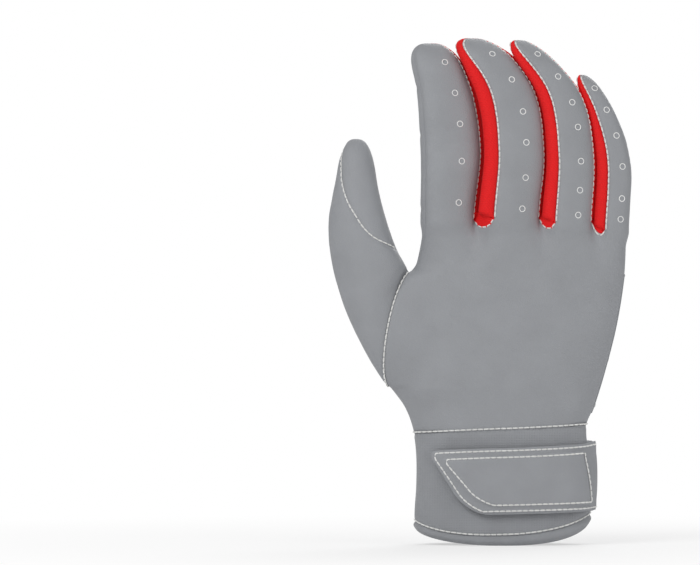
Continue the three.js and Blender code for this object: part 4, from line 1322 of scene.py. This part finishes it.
def pad_seam():
    """A white row round the pad's sewn edges: its top and its inner edge down to the wrist."""
    edge_count, top_count = PAD_SEAM_SAMPLES
    edge_z = np.linspace(PAD_LOW, PAD_HIGH - STITCH_INSET, edge_count)
    across = oval_points(pad_turn(1, edge_z), edge_z) - oval_points(pad_turn(0, edge_z), edge_z)
    edge_share = STITCH_INSET / np.linalg.norm(across, axis=-1)
    share = np.concatenate([edge_share, np.linspace(edge_share[-1], 1, top_count)])
    z = np.concatenate([edge_z, np.full(top_count, edge_z[-1])])
    return on_pad(pad_turn(share, z), share, z)


def pad_rings():
    """Middles and normals of the pad's rings, in rows that are half a pitch apart by turns."""
    centres, normals = [], []
    for row, height in enumerate(np.arange(PAD_LOW + RING_FIRST_ROW, PAD_HIGH - RING_TOP_MARGIN, RING_ROW)):
        lengths = measure(oval_points(RING_LINE, np.full_like(RING_LINE, height)))
        at = np.arange(row % 2 * RING_PITCH / 2, lengths[-1], RING_PITCH)
        start, end = pad_turn(0, height), pad_turn(1, height)
        start_at, end_at = np.interp([-start, -end], -RING_LINE, lengths)
        at = at[(at > start_at + RING_MARGIN) & (at < end_at - RING_MARGIN)]
        turns = np.interp(at, lengths, RING_LINE)
        row_centres, row_normals = on_pad(turns, (turns - start) / (end - start), np.full_like(turns, height))
        centres.extend(row_centres)
        normals.extend(row_normals)
    return centres, normals


def build_heel_pad():
    share = np.linspace(0, 1, PAD_GRID)[None, :]
    z = lerp(PAD_LOW, PAD_HIGH, np.linspace(0, 1, PAD_GRID)[:, None])
    turn, z = np.broadcast_arrays(pad_turn(share, z), z)
    pad = oval_sheet(
        "heel_pad_overlay", turn, z, pad_lift(share, z), HEEL_PAD_THICKNESS, GRIP_OVERLAY,
        seams=False,
    )
    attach(pad, "hand")
    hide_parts("heel_pad")
    rings = rings_on("heel_pad_rings", *pad_rings())
    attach(rings, "hand")
    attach(stitches("heel_pad_white_stitches", [pad_seam()]), "hand")


def dress_nodes():
    """Finishes for the CAD nodes that stay as they are."""
    for name, material in (("hook_tape", HOOK_TAPE), ("loop_tape", LOOP_TAPE), ("wrist_elastic", ELASTIC)):
        node = bpy.data.objects[name]
        node.data.materials.clear()
        node.data.materials.append(material)


for finger_number in range(len(FINGER_LIST)):
    build_finger(finger_number)
for hand_face in HAND_FACES.values():
    build_hand_face(hand_face)
build_webs()
hand_stitches()
build_thumb()
build_cuff()
build_strap_root()
build_strap()
build_heel_pad()
dress_nodes()


# Stage, lights and camera, in metres.
FLOOR_HALF = 4.0
FLOOR_COLOUR = (0.9, 0.9, 0.9, 1)
FLOOR_FADE = {"From Min": 0.08, "From Max": 0.4, "To Min": 0.55, "To Max": 1.0}  # from shaded floor to white
AMBIENT = 0.48  # strength of the white surroundings as a light
LIGHT_AIM = (0, 0, 0.12)
LIGHTS = {  # place, size and power
    "key": ((-0.7, -0.9, 0.9), 0.7, 7.6),
    "fill": ((0.9, -0.8, 0.4), 0.9, 3),
    "behind": ((0.3, 1.0, 0.8), 0.8, 7),
}
FRAME_WIDTH = 337.4 * MM  # width of the picture at the glove
FRAME_CENTRE = (-74.2 * MM, -0.008, 126.5 * MM)
CAMERA_DISTANCE = 3.0
CAMERA_REACH = 20
SENSOR = 36


def add_floor():
    """A floor that is white to the camera away from the glove, and takes its soft shadow near it."""
    mesh = bpy.data.meshes.new("floor")
    corners = [(x * FLOOR_HALF, y * FLOOR_HALF, 0) for x, y in ((-1, -1), (1, -1), (1, 1), (-1, 1))]
    mesh.from_pydata(corners, [], [(0, 1, 2, 3)])
    floor = add_object("floor", mesh)
    material = bpy.data.materials.new("floor")
    material.use_nodes = True
    tree = material.node_tree
    tree.nodes.clear()
    place = add_node(tree, "TexCoord").outputs["Object"]
    distance = add_node(tree, "VectorMath", {0: place}, operation="LENGTH").outputs["Value"]
    fade = add_node(tree, "MapRange", {"Value": distance, **FLOOR_FADE}).outputs["Result"]
    seen = add_node(tree, "LightPath").outputs["Is Camera Ray"]
    white = add_node(tree, "Math", {0: fade, 1: seen}, operation="MULTIPLY").outputs[0]
    diffuse = add_node(tree, "BsdfDiffuse", {"Color": FLOOR_COLOUR}).outputs[0]
    glow = add_node(tree, "Emission").outputs[0]
    mix = add_node(tree, "MixShader", {0: white, 1: diffuse, 2: glow}).outputs[0]
    add_node(tree, "OutputMaterial", {"Surface": mix})
    mesh.materials.append(material)


def add_world():
    """White surroundings, which are weaker as a light than they look."""
    world = bpy.data.worlds.new("studio")
    bpy.context.scene.world = world
    world.use_nodes = True
    tree = world.node_tree
    background = tree.nodes["Background"]
    background.inputs["Color"].default_value = (1, 1, 1, 1)
    path = add_node(tree, "LightPath").outputs
    rays = {0: path["Is Camera Ray"], 1: path["Is Transmission Ray"]}
    seen = add_node(tree, "Math", rays, operation="MAXIMUM").outputs[0]
    strength = add_node(tree, "MapRange", {"Value": seen, "To Min": AMBIENT})
    tree.links.new(strength.outputs["Result"], background.inputs["Strength"])


def add_light(name, place, size, power):
    lamp = bpy.data.lights.new(name, "AREA")
    lamp.size = size
    lamp.energy = power
    light = add_object(name, lamp)
    light.location = place
    light.rotation_euler = (Vector(LIGHT_AIM) - Vector(place)).to_track_quat("-Z", "Y").to_euler()


def add_camera():
    lens = bpy.data.cameras.new("camera")
    lens.sensor_width = SENSOR
    lens.lens = SENSOR * CAMERA_DISTANCE / FRAME_WIDTH
    lens.clip_end = CAMERA_REACH
    camera = add_object("camera", lens)
    x, y, z = FRAME_CENTRE
    camera.location = (x, y - CAMERA_DISTANCE, z)
    camera.rotation_euler = (math.pi / 2, 0, 0)
    bpy.context.scene.camera = camera


bpy.context.scene.view_settings.view_transform = "Standard"
add_floor()
add_world()
for light_name, settings in LIGHTS.items():
    add_light(light_name, *settings)
add_camera()
